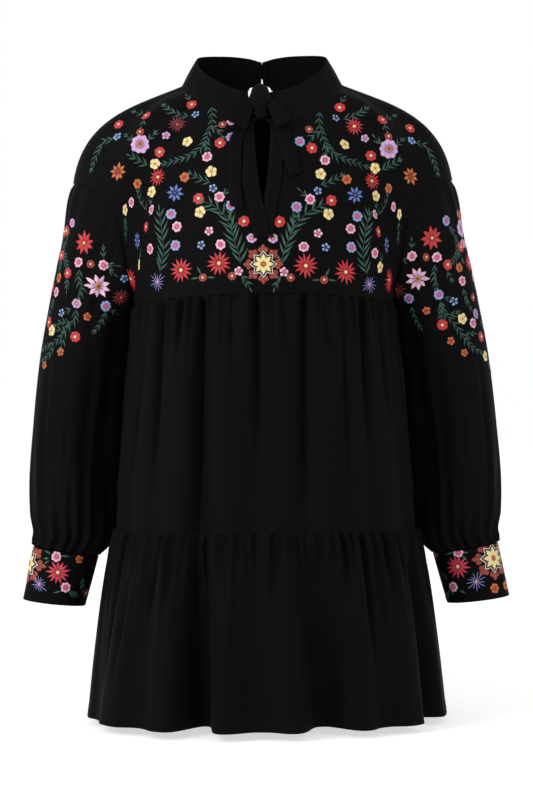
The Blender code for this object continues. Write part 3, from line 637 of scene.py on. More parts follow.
# share of the way up from the side seam, and the place on the front
ARMHOLE = (
    (0.00, 0.1650, 0.0000, -0.2735), (0.07, 0.1660, 0.0000, -0.2630), (0.18, 0.1690, 0.0230, -0.2525),
    (0.30, 0.1727, 0.0430, -0.2290), (0.44, 0.1760, 0.0550, -0.1950), (0.58, 0.1835, 0.0590, -0.1600),
    (0.70, 0.2000, 0.0530, -0.1380), (0.80, 0.2180, 0.0400, -0.1255), (0.90, 0.2340, 0.0205, -0.1180),
    (1.00, 0.2420, 0.0000, -0.1150),
)
NECK_HALF_WIDTH = 0.1024
NECK_SIDE_Z = 0.0070
# the collar's upper edge: half width, reach to the front and reach to the back
COLLAR_HALF_WIDTH = 0.0830
COLLAR_FRONT = 0.0550
COLLAR_BACK = 0.0480


def neck_point(degrees):
    a = math.radians(degrees)
    s, c = math.sin(a), math.cos(a)
    depth, z, bend = (0.0780, -0.0400, 1.5) if c > 0 else (0.0620, 0.0120, 2.0)
    height = NECK_SIDE_Z + (z - NECK_SIDE_Z) * abs(c) ** bend
    return Vector((NECK_HALF_WIDTH * s, -depth * c, height))


def collar_top_point(degrees):
    a = math.radians(degrees)
    s, c = math.sin(a), math.cos(a)
    depth = COLLAR_FRONT if c > 0 else COLLAR_BACK
    return Vector((COLLAR_HALF_WIDTH * s, -depth * c, read_table(COLLAR_TOP, degrees)[1]))


def armhole_point(share, facing):
    _, x, y, z = read_table(ARMHOLE, share)
    return Vector((x, facing * abs(y), z))


# %% Spokes of the yoke
# share of the way from the centre line to the shoulder seam, handle at the neck, handle outside
FRONT_SPOKES = (
    (0.000, 0.000, -0.030, -0.050, 0.000, -0.002, -0.080),
    (0.250, 0.022, -0.038, -0.040, 0.008, 0.004, -0.085),
    (0.500, 0.040, -0.040, -0.064, 0.007, 0.115, -0.001),
    (0.540, 0.040, -0.038, -0.064, 0.001, 0.099, -0.006),
    (0.600, 0.040, -0.034, -0.028, 0.016, 0.068, -0.020),
    (0.680, 0.041, -0.028, -0.008, 0.029, 0.034, -0.062),
    (0.750, 0.042, -0.023, -0.018, 0.005, 0.014, -0.105),
    (0.875, 0.051, -0.010, -0.021, 0.015, -0.002, -0.066),
    (1.000, 0.060, 0.000, -0.023, 0.012, 0.000, -0.084),
)
BACK_SPOKES = (
    (0.000, 0.000, 0.024, -0.035, 0.000, -0.002, -0.085),
    (0.250, 0.026, 0.030, -0.034, 0.006, -0.002, -0.085),
    (0.500, 0.042, 0.036, -0.047, -0.001, -0.099, -0.012),
    (0.540, 0.042, 0.034, -0.042, -0.002, -0.102, 0.017),
    (0.600, 0.042, 0.030, -0.027, 0.006, -0.070, -0.020),
    (0.680, 0.043, 0.024, -0.010, 0.013, -0.036, -0.027),
    (0.750, 0.044, 0.018, -0.018, 0.029, -0.023, -0.015),
    (0.875, 0.052, 0.009, -0.021, 0.015, 0.002, -0.066),
    (1.000, 0.060, 0.000, -0.023, 0.012, 0.000, -0.084),
)
# share of the way down a spoke, half the opening there
FRONT_SLIT = (
    (0.00, 0.0122), (0.10, 0.0106), (0.20, 0.0092), (0.32, 0.0076), (0.44, 0.0046), (0.56, 0.0),
)
BACK_SLIT = ((0.00, 0.0160), (0.10, 0.0140), (0.20, 0.0))
# shares of the way from the centre line: where the side seam is, and how far a slit spreads
CORNER = 0.5
SLIT_REACH = 0.24
# degrees round the neck where the side seam's spoke starts
NECK_AT_CORNER = 52
RIDGE_ROUND = 0.0120
LOWEST_ARMHOLE = 0.07


def spoke_point(share, down, facing):
    spokes, slit = (FRONT_SPOKES, FRONT_SLIT) if facing < 0 else (BACK_SPOKES, BACK_SLIT)
    neck_turn = NECK_AT_CORNER * share / CORNER
    if share > CORNER:
        past = (share - CORNER) / (1 - CORNER)
        neck_turn = NECK_AT_CORNER + (90 - NECK_AT_CORNER) * past
        end = armhole_point(past, facing)
    else:
        angle = math.radians(90 * share / CORNER)
        angle = angle if facing < 0 else math.pi - angle
        end, _ = body_point(angle, TIER_SECTIONS[0], YOKE_SEAM_Z)
        end.z -= seam_dip(angle)
    start = neck_point(neck_turn if facing < 0 else 180 - neck_turn)
    row = read_table(spokes, share)
    leave, arrive = Vector(row[1:4]), Vector(row[4:7])
    t = down
    u = 1 - down
    point = start * u**3 + (start + leave) * 3 * t * u * u + (end - arrive) * 3 * t * t * u + end * t**3
    if share < SLIT_REACH and down < slit[-1][0]:
        point.x += read_table(slit, down)[1] * (1 - share / SLIT_REACH) ** 2
    return point


def yoke_point(share, down, facing):
    """A spoke's point, lifted near the shoulder seam so that both panels lie level along it."""
    point = spoke_point(share, down, facing)
    if share > CORNER:
        ridge = spoke_point(1.0, down, facing)
        away = abs(point.y - ridge.y)
        lift = (1 - min(away / (2 * RIDGE_ROUND), 1)) * (1 - ease(away, RIDGE_ROUND, 4 * RIDGE_ROUND))
        point.z += (ridge.z - point.z) * lift * ease(share, 0.80, 0.92)
    return point


# %% The yoke's two panels
SEAM_CELLS = 44
SIDE_CELLS = 2
ARMHOLE_CELLS = 40
YOKE_ROWS = 52
# what each panel keeps clear of the other at the side and at the shoulder
SIDE_GAP = 0.0012
RIDGE_GAP = 0.0006


def yoke_share(column):
    if column <= SEAM_CELLS:
        return CORNER * column / SEAM_CELLS
    if column <= SEAM_CELLS + SIDE_CELLS:
        return CORNER + (1 - CORNER) * LOWEST_ARMHOLE * (column - SEAM_CELLS) / SIDE_CELLS
    up = (column - SEAM_CELLS - SIDE_CELLS) / ARMHOLE_CELLS
    return CORNER + (1 - CORNER) * (LOWEST_ARMHOLE + (1 - LOWEST_ARMHOLE) * up)


def make_yoke():
    half = SEAM_CELLS + SIDE_CELLS + ARMHOLE_CELLS
    panels = {}
    for name, facing in (("yoke_front", -1), ("yoke_back", 1)):

        def place(column, row):
            down = row / YOKE_ROWS
            point = yoke_point(yoke_share(column), down, facing)
            last = ease(down, 0.94, 1.0)
            if column <= SEAM_CELLS:
                point.z += SEAM_GAP / 2 * last
            if SEAM_CELLS <= column <= SEAM_CELLS + SIDE_CELLS:
                point.y += facing * SIDE_GAP / 2 * last
            if column == half:
                point.y += facing * RIDGE_GAP / 2
            if column == 0:
                point.x = max(point.x, 0.0) if down < FRONT_SLIT[-1][0] else 0.0
            return point

        mesh = grid_mesh(name, half, YOKE_ROWS, place)
        panels[facing] = make_cloth(name, mesh, mirror=True)
    return panels


# the slit at the back hangs a little off the centre line
BACK_SLIT_SHIFT = -0.0030


def shift_back_slit(cloth):
    """Moves the cloth sideways near the slit, and less and less away from it."""
    for corner in cloth.data.vertices:
        near = math.exp(-((corner.co.x / 0.035) ** 2)) * ease(corner.co.z, -0.090, -0.040)
        corner.co.x += BACK_SLIT_SHIFT * near


yoke = make_yoke()
shift_back_slit(yoke[1])

# %% [markdown]
# ## Collar, sleeves and cuffs
#
# The stand collar is two bands that lean in a little, from the tie in front to the button
# behind. A sleeve is a tube: rings that run from the armhole down the arm, full above the
# cuff, where gathers draw it in. The cuff is a plain band.

# %% The stand collar
COLLAR_CELLS = 90
COLLAR_ROWS = 12
COLLAR_FRONT_ENDS = ((0.0, 5.9), (0.25, 6.1), (0.5, 6.4), (0.75, 7.0), (1.0, 11.0))
COLLAR_BACK_ENDS = ((0.0, 8.3), (0.12, 7.4), (0.20, 0.8), (0.5, 0.20), (0.75, 0.22), (1.0, 0.24))
# degrees by which the bow pulls each front end towards the wearer's right
FRONT_END_SHIFT = {1: 4.2, -1: -3.6}
# degrees by which each back end's lower corner follows the slit
BACK_END_SHIFT = {1: 1.6, -1: -1.6}


def straight(rows, at):
    """A value between two rows of a table, on a straight line."""
    for low, high in zip(rows, rows[1:]):
        if at <= high[0]:
            return low[1] + (high[1] - low[1]) * (at - low[0]) / (high[0] - low[0])
    return rows[-1][1]


def other_side(point, side):
    """The point as it is for side 1, the wearer's left, and mirrored for side -1."""
    return Vector((side * point.x, point.y, point.z))


def collar_point(side, share, up):
    first = straight(COLLAR_FRONT_ENDS, up) - FRONT_END_SHIFT[side]
    last = 180 - straight(COLLAR_BACK_ENDS, up) + BACK_END_SHIFT[side] * (1 - ease(up, 0.12, 0.20))
    degrees = first + (last - first) * share
    low, high = neck_point(degrees), collar_top_point(degrees)
    low += (low - high).normalized() * SEAM_GAP
    point = low.lerp(high, up)
    bulge = (0.0006 + 0.0005 * math.sin(0.35 * degrees)) * math.sin(math.pi * up)
    return other_side(point + Vector((point.x, point.y, 0)).normalized() * bulge, side)


make_cloths((("collar_left", 1), ("collar_right", -1)), COLLAR_CELLS, COLLAR_ROWS, collar_point)

# %% Rings of the sleeve and the cuff
# share down, outer x and z, inner x and z, half depth, centre y
SLEEVE_RINGS = (
    (0.00, 0.2420, -0.1150, 0.1710, -0.2620, 0.0590, 0.000),
    (0.06, 0.2495, -0.1400, 0.1723, -0.2760, 0.0600, 0.004),
    (0.14, 0.2560, -0.1770, 0.1732, -0.2960, 0.0600, 0.015),
    (0.24, 0.2660, -0.2200, 0.1748, -0.3250, 0.0590, 0.022),
    (0.35, 0.2760, -0.2650, 0.1782, -0.3580, 0.0580, 0.028),
    (0.50, 0.2895, -0.3350, 0.1822, -0.4100, 0.0585, 0.034),
    (0.64, 0.2985, -0.4100, 0.1864, -0.4650, 0.0600, 0.037),
    (0.78, 0.3035, -0.4840, 0.1903, -0.5200, 0.0610, 0.036),
    (0.88, 0.3010, -0.5380, 0.1940, -0.5560, 0.0560, 0.030),
    (0.95, 0.2945, -0.5630, 0.2032, -0.5770, 0.0430, 0.021),
    (1.00, 0.2980, -0.5780, 0.2158, -0.5910, 0.0320, 0.015),
)
CUFF_RINGS = (
    (0.0, 0.2980, -0.5785, 0.2158, -0.5915, 0.0310, 0.015),
    (0.5, 0.3053, -0.6130, 0.2245, -0.6240, 0.0325, 0.015),
    (1.0, 0.3122, -0.6470, 0.2335, -0.6560, 0.0330, 0.015),
)
# turn round the arm, half width, share down where it starts and ends, depth
SLEEVE_FOLDS = (
    (0.300, 0.035, 0.30, 0.90, 0.0080), (0.170, 0.030, 0.55, 0.98, 0.0050),
    (0.385, 0.045, 0.12, 0.95, 0.0140), (0.620, 0.040, 0.25, 0.90, 0.0070),
    (0.780, 0.035, 0.45, 0.98, 0.0060), (0.205, 0.014, 0.02, 0.42, 0.0035),
    (0.265, 0.012, 0.04, 0.34, 0.0030), (0.125, 0.013, 0.45, 1.02, 0.0040),
    (0.225, 0.011, 0.58, 1.04, 0.0040), (0.345, 0.012, 0.52, 1.03, 0.0040),
    (0.055, 0.012, 0.60, 1.05, 0.0030), (0.700, 0.014, 0.40, 1.02, 0.0035),
    (0.860, 0.013, 0.50, 1.04, 0.0035),
)
CUFF_GATHERS = 18


def ring_point(ring, turn):
    """A point on a ring, and the way out. Turn 0 is the outer edge, 0.25 the front."""
    angle = 2 * math.pi * turn
    outer = Vector((ring[1], ring[6], ring[2]))
    inner = Vector((ring[3], ring[6], ring[4]))
    across = (outer - inner) / 2
    depth = Vector((0, -ring[5], 0))
    point = (outer + inner) / 2 + across * math.cos(angle) + depth * math.sin(angle)
    out = across * (math.cos(angle) / across.length) + depth * (math.sin(angle) / depth.length)
    return point, out.normalized()


def armhole_ring(turn):
    facing = -1 if turn <= 0.5 else 1
    up = 1 - 2 * turn if turn <= 0.5 else 2 * turn - 1
    return armhole_point(LOWEST_ARMHOLE + (1 - LOWEST_ARMHOLE) * up, facing)


def sleeve_gather(turn, down):
    """Small waves on a sleeve, above the cuff and below the top of the shoulder seam."""
    size = 1 + 0.35 * math.sin(10 * math.pi * turn + 1) + 0.25 * math.sin(26 * math.pi * turn)
    cuff = 0.0031 * size * ease(down, 0.64, 0.95) * (1 - 0.45 * ease(down, 0.97, 1.0))
    near_top = math.exp(-((min(turn, 1 - turn) / 0.14) ** 2))
    shoulder = 0.0016 * near_top * ease(down, 0.0, 0.03) * (1 - ease(down, 0.05, 0.22))
    phase = 2 * math.pi * CUFF_GATHERS * turn
    fine = 0.25 * math.cos(2 * phase + 3 * math.sin(6 * math.pi * turn)) * ease(down, 0.86, 0.97)
    return (math.cos(phase + 0.5 * math.sin(8 * math.pi * turn)) + fine) * (cuff + shoulder)


def sleeve_point(turn, down):
    """The wearer's left sleeve, from the armhole down to the cuff."""
    ring = read_table(SLEEVE_RINGS, down)
    point, out = ring_point(ring, turn)
    if down < 0.30:
        first, _ = ring_point(SLEEVE_RINGS[0], turn)
        point += (armhole_ring(turn) - first) * (1 - ease(down, 0.0, 0.30))
        # under the arm the cloth clears the yoke's edge at the seam, and lies close to it below
        under = ease(abs(turn - 0.5), 0.5, 0.0)
        closer = ease(down, 0.0, 0.04) * (1 - 0.6 * ease(down, 0.05, 0.11)) * (1 - ease(down, 0.15, 0.30))
        point.x += under * (0.0017 * (1 - ease(down, 0.0, 0.04)) - 0.0042 * closer)
    # the top edge is tucked a little inside the yoke's edge
    tucked = 1 - ease(down, 0.0, 0.025)
    point += Vector((-0.0010, 0.0011 * math.sin(2 * math.pi * turn), -0.0008)) * tucked
    sink = 0.0
    for middle, spread, start, end, depth in SLEEVE_FOLDS:
        along = max(0.0, 1 - ((down - (start + end) / 2) / ((end - start) / 2)) ** 2)
        sink += depth * along * math.exp(-(((turn - middle) / spread) ** 2))
    return point + out * (sleeve_gather(turn, down) - sink)


def cuff_point(turn, down):
    point, _ = ring_point(read_table(CUFF_RINGS, down), turn)
    point.z -= 0.0010 * (1 - down)
    return point


# %% Sleeves and cuffs
SLEEVE_CELLS = 10 * CUFF_GATHERS
SLEEVE_ROWS = 100
CUFF_CELLS = 120
CUFF_ROWS = 24


def make_sleeves():
    made = {}
    for name, cells, rows, point in (
        ("sleeve", SLEEVE_CELLS, SLEEVE_ROWS, sleeve_point),
        ("cuff", CUFF_CELLS, CUFF_ROWS, cuff_point),
    ):
        for side, word in ((1, "left"), (-1, "right")):

            def place(column, row):
                """The last column falls on the first one, which closes the tube."""
                return other_side(point((column % cells) / cells, row / rows), side)

            solid = f"{name}_{word}"
            mesh = grid_mesh(solid, cells, rows, place, closed=True)
            made[name, side] = make_cloth(solid, mesh)
    return made


sleeves = make_sleeves()

# %% [markdown]
# ## Front slit and tie
#
# A strip of the same crepe finishes each edge of the front slit, and the two meet below it.
# The tie is a narrow ribbon in a small bow: a wrapped knot, two short loops and two hanging
# ends. The strips and ends take their places from rays cast at the yoke, so they lie on it.

# %% Points on the front of the yoke
# how far the yoke's front leans out for each metre down
YOKE_LEAN = 0.45


class Ground:
    """The face of a finished cloth, and rays that find places on it."""

    def __init__(self, cloth):
        corners = [corner.co for corner in cloth.data.vertices]
        self.tree = BVHTree.FromPolygons(corners, [face.vertices for face in cloth.data.polygons])

    def ahead(self, x, z):
        """The point seen straight ahead at (x, z), and the way out. An opening's edges count too."""
        for drop in (0.0, 0.006, 0.012, 0.018, 0.024):
            for shift in (0.0, 0.004, 0.008, 0.012):
                for side in (1, -1):
                    start = Vector((x + side * shift, -1.0, z - drop))
                    point, normal = self.tree.ray_cast(start, Vector((0, 1, 0)))[:2]
                    if point is not None and point.y < 0:
                        return Vector((x, point.y + YOKE_LEAN * drop, z)), normal
        raise ValueError(f"nothing of the yoke lies ahead at {x:.3f}, {z:.3f}")


yoke_front = Ground(yoke[-1])

# %% Strips beside the slit
Strip = namedtuple("Strip", "z inner outer")
PLACKET_RIGHT = (
    Strip(-0.0520, -0.0102, -0.0240), Strip(-0.0750, -0.0094, -0.0238),
    Strip(-0.1000, -0.0078, -0.0236), Strip(-0.1280, -0.0048, -0.0250),
    Strip(-0.1540, 0.0004, -0.0190), Strip(-0.1750, 0.0055, -0.0145),
    Strip(-0.1970, 0.0080, -0.0115),
)
PLACKET_LEFT = (
    Strip(-0.0520, 0.0102, 0.0240), Strip(-0.0750, 0.0094, 0.0240),
    Strip(-0.1000, 0.0078, 0.0245), Strip(-0.1280, 0.0048, 0.0225),
    Strip(-0.1540, 0.0020, 0.0175), Strip(-0.1750, 0.0066, 0.0145),
    Strip(-0.1970, 0.0090, 0.0120),
)
# from the middle of the yoke's wall to the middle of the strip's
STRIP_LIFT = 0.0012


def placket_point(strip, across, along):
    z = strip[0].z + (strip[-1].z - strip[0].z) * along
    _, inner, outer = read_table(strip, z)
    point, out = yoke_front.ahead(inner + (outer - inner) * across, z)
    unevenness = 0.0003 * math.sin(math.pi * across) + 0.0002 * math.sin(37 * along + 3 * across)
    return point + out * (STRIP_LIFT + unevenness)


plackets = (("placket_right", PLACKET_RIGHT), ("placket_left", PLACKET_LEFT))
make_cloths(plackets, 10, 70, placket_point)

# %% The knot
# the bow sits a little towards the wearer's right
BOW_SHIFT = Vector((-0.0024, 0, 0))
KNOT_CENTRE = Vector((-0.0024, -0.0690, -0.0225))
KNOT_HALF = Vector((0.0100, 0.0115, 0.0250))
# how far the top lies further back than the middle, as a share of the height
KNOT_LEAN = 0.60
WRAPS = 2.1
# height from -1 to 1, half width as a share of the middle one
KNOT_WIDTHS = ((-1.0, 0.80), (-0.5, 1.05), (-0.1, 1.45), (0.25, 1.36), (0.6, 1.10), (1.0, 0.78))


def make_knot():
    """A round form made fuller in the middle, with the slanting creases of a wrapped ribbon."""
    shape = bmesh.new()
    bmesh.ops.create_uvsphere(shape, u_segments=96, v_segments=84, radius=1)
    for corner in shape.verts:
        high = corner.co.z
        square = 1 / max(math.sqrt(1 - min(high * high, 0.99)), 0.45)
        slant = high + 0.28 * corner.co.x * (1 if corner.co.y < 0 else -1)
        wrap = WRAPS * slant + 0.25 * math.sin(2.3 * corner.co.x + 1.7 * high)
        crease = 0.10 * max(0.0, math.sin(2 * math.pi * wrap)) ** 8
        wide = corner.co.x * KNOT_HALF.x * straight(KNOT_WIDTHS, high) * min(square, 1.6)
        deep = corner.co.y * KNOT_HALF.y * (1 - crease) + high * KNOT_HALF.z * KNOT_LEAN
        corner.co = KNOT_CENTRE + Vector((wide * (1 - 0.5 * crease), deep, high * KNOT_HALF.z))
    knot = show("tie_knot_cloth", mesh_of(shape, "tie_knot_cloth", CREPE))
    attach(knot, "root")
    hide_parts("tie_knot")
    print(f"tie_knot_cloth: {len(knot.data.polygons)} faces")


make_knot()

# %% The two loops
Loop = namedtuple("Loop", "side length end_width drop_degrees")
LOOPS = (
    ("tie_loop_left", Loop(1, 0.0390, 0.0225, 58)),
    ("tie_loop_right", Loop(-1, 0.0405, 0.0265, 60)),
)
LOOP_ROOT = Vector((0.0130, -0.0792, -0.0265))
LOOP_ROOT_WIDTH = 0.0090
RIBBON_WALL = 0.0009


def loop_point(loop, across, turn):
    """Turn runs along the ribbon: out from the knot on the front face and back on the other."""
    drop = math.radians(loop.drop_degrees)
    along = Vector((math.cos(drop), -0.68, -math.sin(drop))).normalized()
    crossways = Vector((math.sin(drop), 0.0, math.cos(drop)))
    ahead = along.cross(crossways).normalized()
    ahead = ahead if ahead.y < 0 else -ahead
    reach, side = math.sin(math.pi * turn), math.cos(math.pi * turn)
    aside = 2 * across - 1
    width = LOOP_ROOT_WIDTH + (loop.end_width - LOOP_ROOT_WIDTH) * reach**0.8
    gap = 0.0027 * (0.6 + 0.4 * reach)
    groove = 0.0011 * math.exp(-(((aside - 0.1) / 0.26) ** 2)) * (1 - reach) * (side > 0)
    groove += 0.0006 * math.exp(-(((aside + 0.55) / 0.16) ** 2)) * (1 - reach) ** 0.7 * (side > 0)
    point = LOOP_ROOT + along * loop.length * reach + crossways * width / 2 * aside
    return other_side(point + ahead * (gap * side - groove), loop.side) + BOW_SHIFT


make_cloths(LOOPS, 14, 48, loop_point, wall=RIBBON_WALL)

# %% The two hanging ends
Tail = namedtuple("Tail", "z inner outer stand_off")
TAIL_RIGHT = (
    Tail(-0.0470, -0.0040, -0.0115, 0.0042), Tail(-0.0540, -0.0145, -0.0270, 0.0034),
    Tail(-0.0680, -0.0225, -0.0380, 0.0034), Tail(-0.0840, -0.0258, -0.0420, 0.0028),
    Tail(-0.1080, -0.0262, -0.0425, 0.0024), Tail(-0.1320, -0.0264, -0.0422, 0.0024),
    Tail(-0.1590, -0.0235, -0.0400, 0.0024),
)
TAIL_LEFT = (
    Tail(-0.0470, 0.0040, 0.0115, 0.0042), Tail(-0.0540, 0.0110, 0.0270, 0.0034),
    Tail(-0.0640, 0.0155, 0.0335, 0.0034), Tail(-0.0830, 0.0210, 0.0400, 0.0037),
    Tail(-0.1000, 0.0265, 0.0440, 0.0035), Tail(-0.1190, 0.0330, 0.0470, 0.0026),
)
TAIL_SLANT = 0.0050


def tail_point(tail, across, along):
    z = tail[0].z + (tail[-1].z - tail[0].z) * along
    _, inner, outer, stand_off = read_table(tail, z)
    point, _ = yoke_front.ahead(inner + (outer - inner) * across, z)
    point.y -= stand_off + 0.0008 * math.sin(math.pi * across)
    point.y -= 0.0005 * math.sin(9 * along + 2.5 * across) * ease(along, 0.0, 0.3)
    point.z += TAIL_SLANT * (across - 0.5) * along
    return point


tails = (("tie_tail_right", TAIL_RIGHT), ("tie_tail_left", TAIL_LEFT))
make_cloths(tails, 10, 60, tail_point, wall=RIBBON_WALL)

# %% [markdown]
# ## Back closing
#
# A small button holds the collar's two ends together at the back. A strip of cloth behind
# them backs the gap. The button is turned plastic with a raised rim.

# %% The button
BUTTON_RADIUS = 0.0045
BUTTON_HALF_THICK = 0.0016
BUTTON_UP = 0.80
# the solid collar's wall, and what a piece keeps clear of it on either side
SOLID_WALL = 0.0015
LAY_GAP = 0.0003
# radius and height as shares of the two sizes above
BUTTON_PROFILE = (
    (0.0, -0.95), (0.62, -0.95), (0.92, -0.55), (1.0, 0.0), (0.97, 0.55), (0.86, 0.92),
    (0.74, 0.86), (0.62, 0.45), (0.30, 0.40), (0.0, 0.40),
)


def back_collar_point(up, off):
    """A point off the middle of the collar's wall at the back centre, and the way out there."""
    low, high = neck_point(180), collar_top_point(180)
    out = Vector((0, high.z - low.z, low.y - high.y)).normalized()
    bulge = Vector((0, 0.0006 * math.sin(math.pi * up), 0))
    return low.lerp(high, up) + bulge + out * off, out


def spin_button(shape):
    """Spins the button's profile about the Z axis."""
    corners = [
        shape.verts.new((r * BUTTON_RADIUS, 0, h * BUTTON_HALF_THICK)) for r, h in BUTTON_PROFILE
    ]
    edges = [shape.edges.new(pair) for pair in zip(corners, corners[1:])]
    profile = corners + edges
    bmesh.ops.spin(shape, geom=profile, cent=(0, 0, 0), axis=(0, 0, 1), angle=2 * math.pi, steps=48)
    bmesh.ops.remove_doubles(shape, verts=shape.verts, dist=1e-6)
    bmesh.ops.recalc_face_normals(shape, faces=shape.faces)


def make_button():
    off = SOLID_WALL / 2 + BUTTON_HALF_THICK + 2 * LAY_GAP
    centre, out = back_collar_point(BUTTON_UP, off)
    place = Matrix.Translation(centre) @ out.to_track_quat("Z", "Y").to_matrix().to_4x4()
    shape = bmesh.new()
    spin_button(shape)
    shape.transform(place)
    button = show("back_button_plastic", mesh_of(shape, "back_button_plastic", PLASTIC))
    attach(button, "root")
    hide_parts("back_button")
    print(f"back_button_plastic: {len(button.data.polygons)} faces, {2000 * BUTTON_RADIUS:.0f} mm wide")
    return place


button_place = make_button()

# %% The strip behind the collar's ends
SOLID_TAB_WALL = 0.0010
TAB_HALF_WIDTH = 0.0065
# shares of the way up the collar
TAB_ENDS = (0.93, 0.42)


def tab_point(ends, across, along):
    """The strip follows the round of the collar, a little inside it."""
    x = TAB_HALF_WIDTH * (2 * across - 1)
    bow = x * x * COLLAR_BACK / COLLAR_HALF_WIDTH**2 / 2
    off = (SOLID_WALL + SOLID_TAB_WALL) / 2 + 2 * LAY_GAP + bow
    point, _ = back_collar_point(ends[0] + (ends[1] - ends[0]) * along, -off)
    return point + Vector((x, 0, 0))


make_cloths((("back_closure_tab", TAB_ENDS),), 8, 16, tab_point, wall=RIBBON_WALL)

# %% [markdown]
# ## Embroidery
#
# The flowers are satin stitch: flat bundles of thread side by side, raised a little in the
# middle. Every petal, leaf and stem is a small grid that is bent to its outline and then
# pressed on the cloth with rays. A motif is only a few numbers: how many petals, how long,
# how wide and in which threads. Its place on the cloth stands in a table, in millimetres.


# %% Threads
def thread(red, green, blue):
    """A thread's colour from its screen values."""
    return tuple(((0.92 * value / 255 + 0.055) / 1.055) ** 2.4 for value in (red, green, blue))


RED = thread(194, 28, 40)
DEEP_RED = thread(116, 18, 24)
ROSE_RED = thread(204, 46, 72)
CREAM = thread(238, 216, 152)
PALE = thread(232, 222, 208)
OCHRE = thread(196, 136, 56)
ORANGE = thread(196, 98, 32)
RUST = thread(156, 50, 26)
BROWN = thread(124, 62, 28)
YELLOW = thread(244, 204, 116)
LILAC = thread(206, 164, 210)
PURPLE = thread(134, 80, 150)
PALE_PINK = thread(236, 186, 208)
MAGENTA = thread(190, 66, 116)
SKY = thread(132, 166, 212)
BLUE = thread(86, 112, 188)
PERIWINKLE = thread(130, 140, 214)
NIGHT = thread(20, 22, 44)
BLACK = thread(10, 10, 12)
LEAF = thread(20, 66, 54)
# the lighter leaf thread is a painted sheen, laid on one half of each leaf
LEAF_SHEEN = thread(40, 98, 78)
STEM = thread(22, 60, 50)

# %% Outlines of petals: the share of the full half width at a share of the length
def pointed(t):
    return (min(t / 0.42, 1.0)) ** 0.65 * (1 - max(0.0, (t - 0.42) / 0.58) ** 1.5)


def rounded(t):
    return (0.25 + 0.75 * min(t / 0.6, 1.0)) * math.sqrt(1 - max(0.0, (t - 0.6) / 0.4) ** 2.4)


def diamond(t):
    return min(t / 0.58, (1 - t) / 0.42, 1.0)


def blade(t):
    return (min(t / 0.38, 1.0)) ** 0.8 * (1 - max(0.0, (t - 0.38) / 0.62) ** 1.25)


def ray(t):
    return 0.5 + 0.5 * min(t / 0.5, 1.0) - 0.75 * max(0.0, (t - 0.75) / 0.25) ** 2


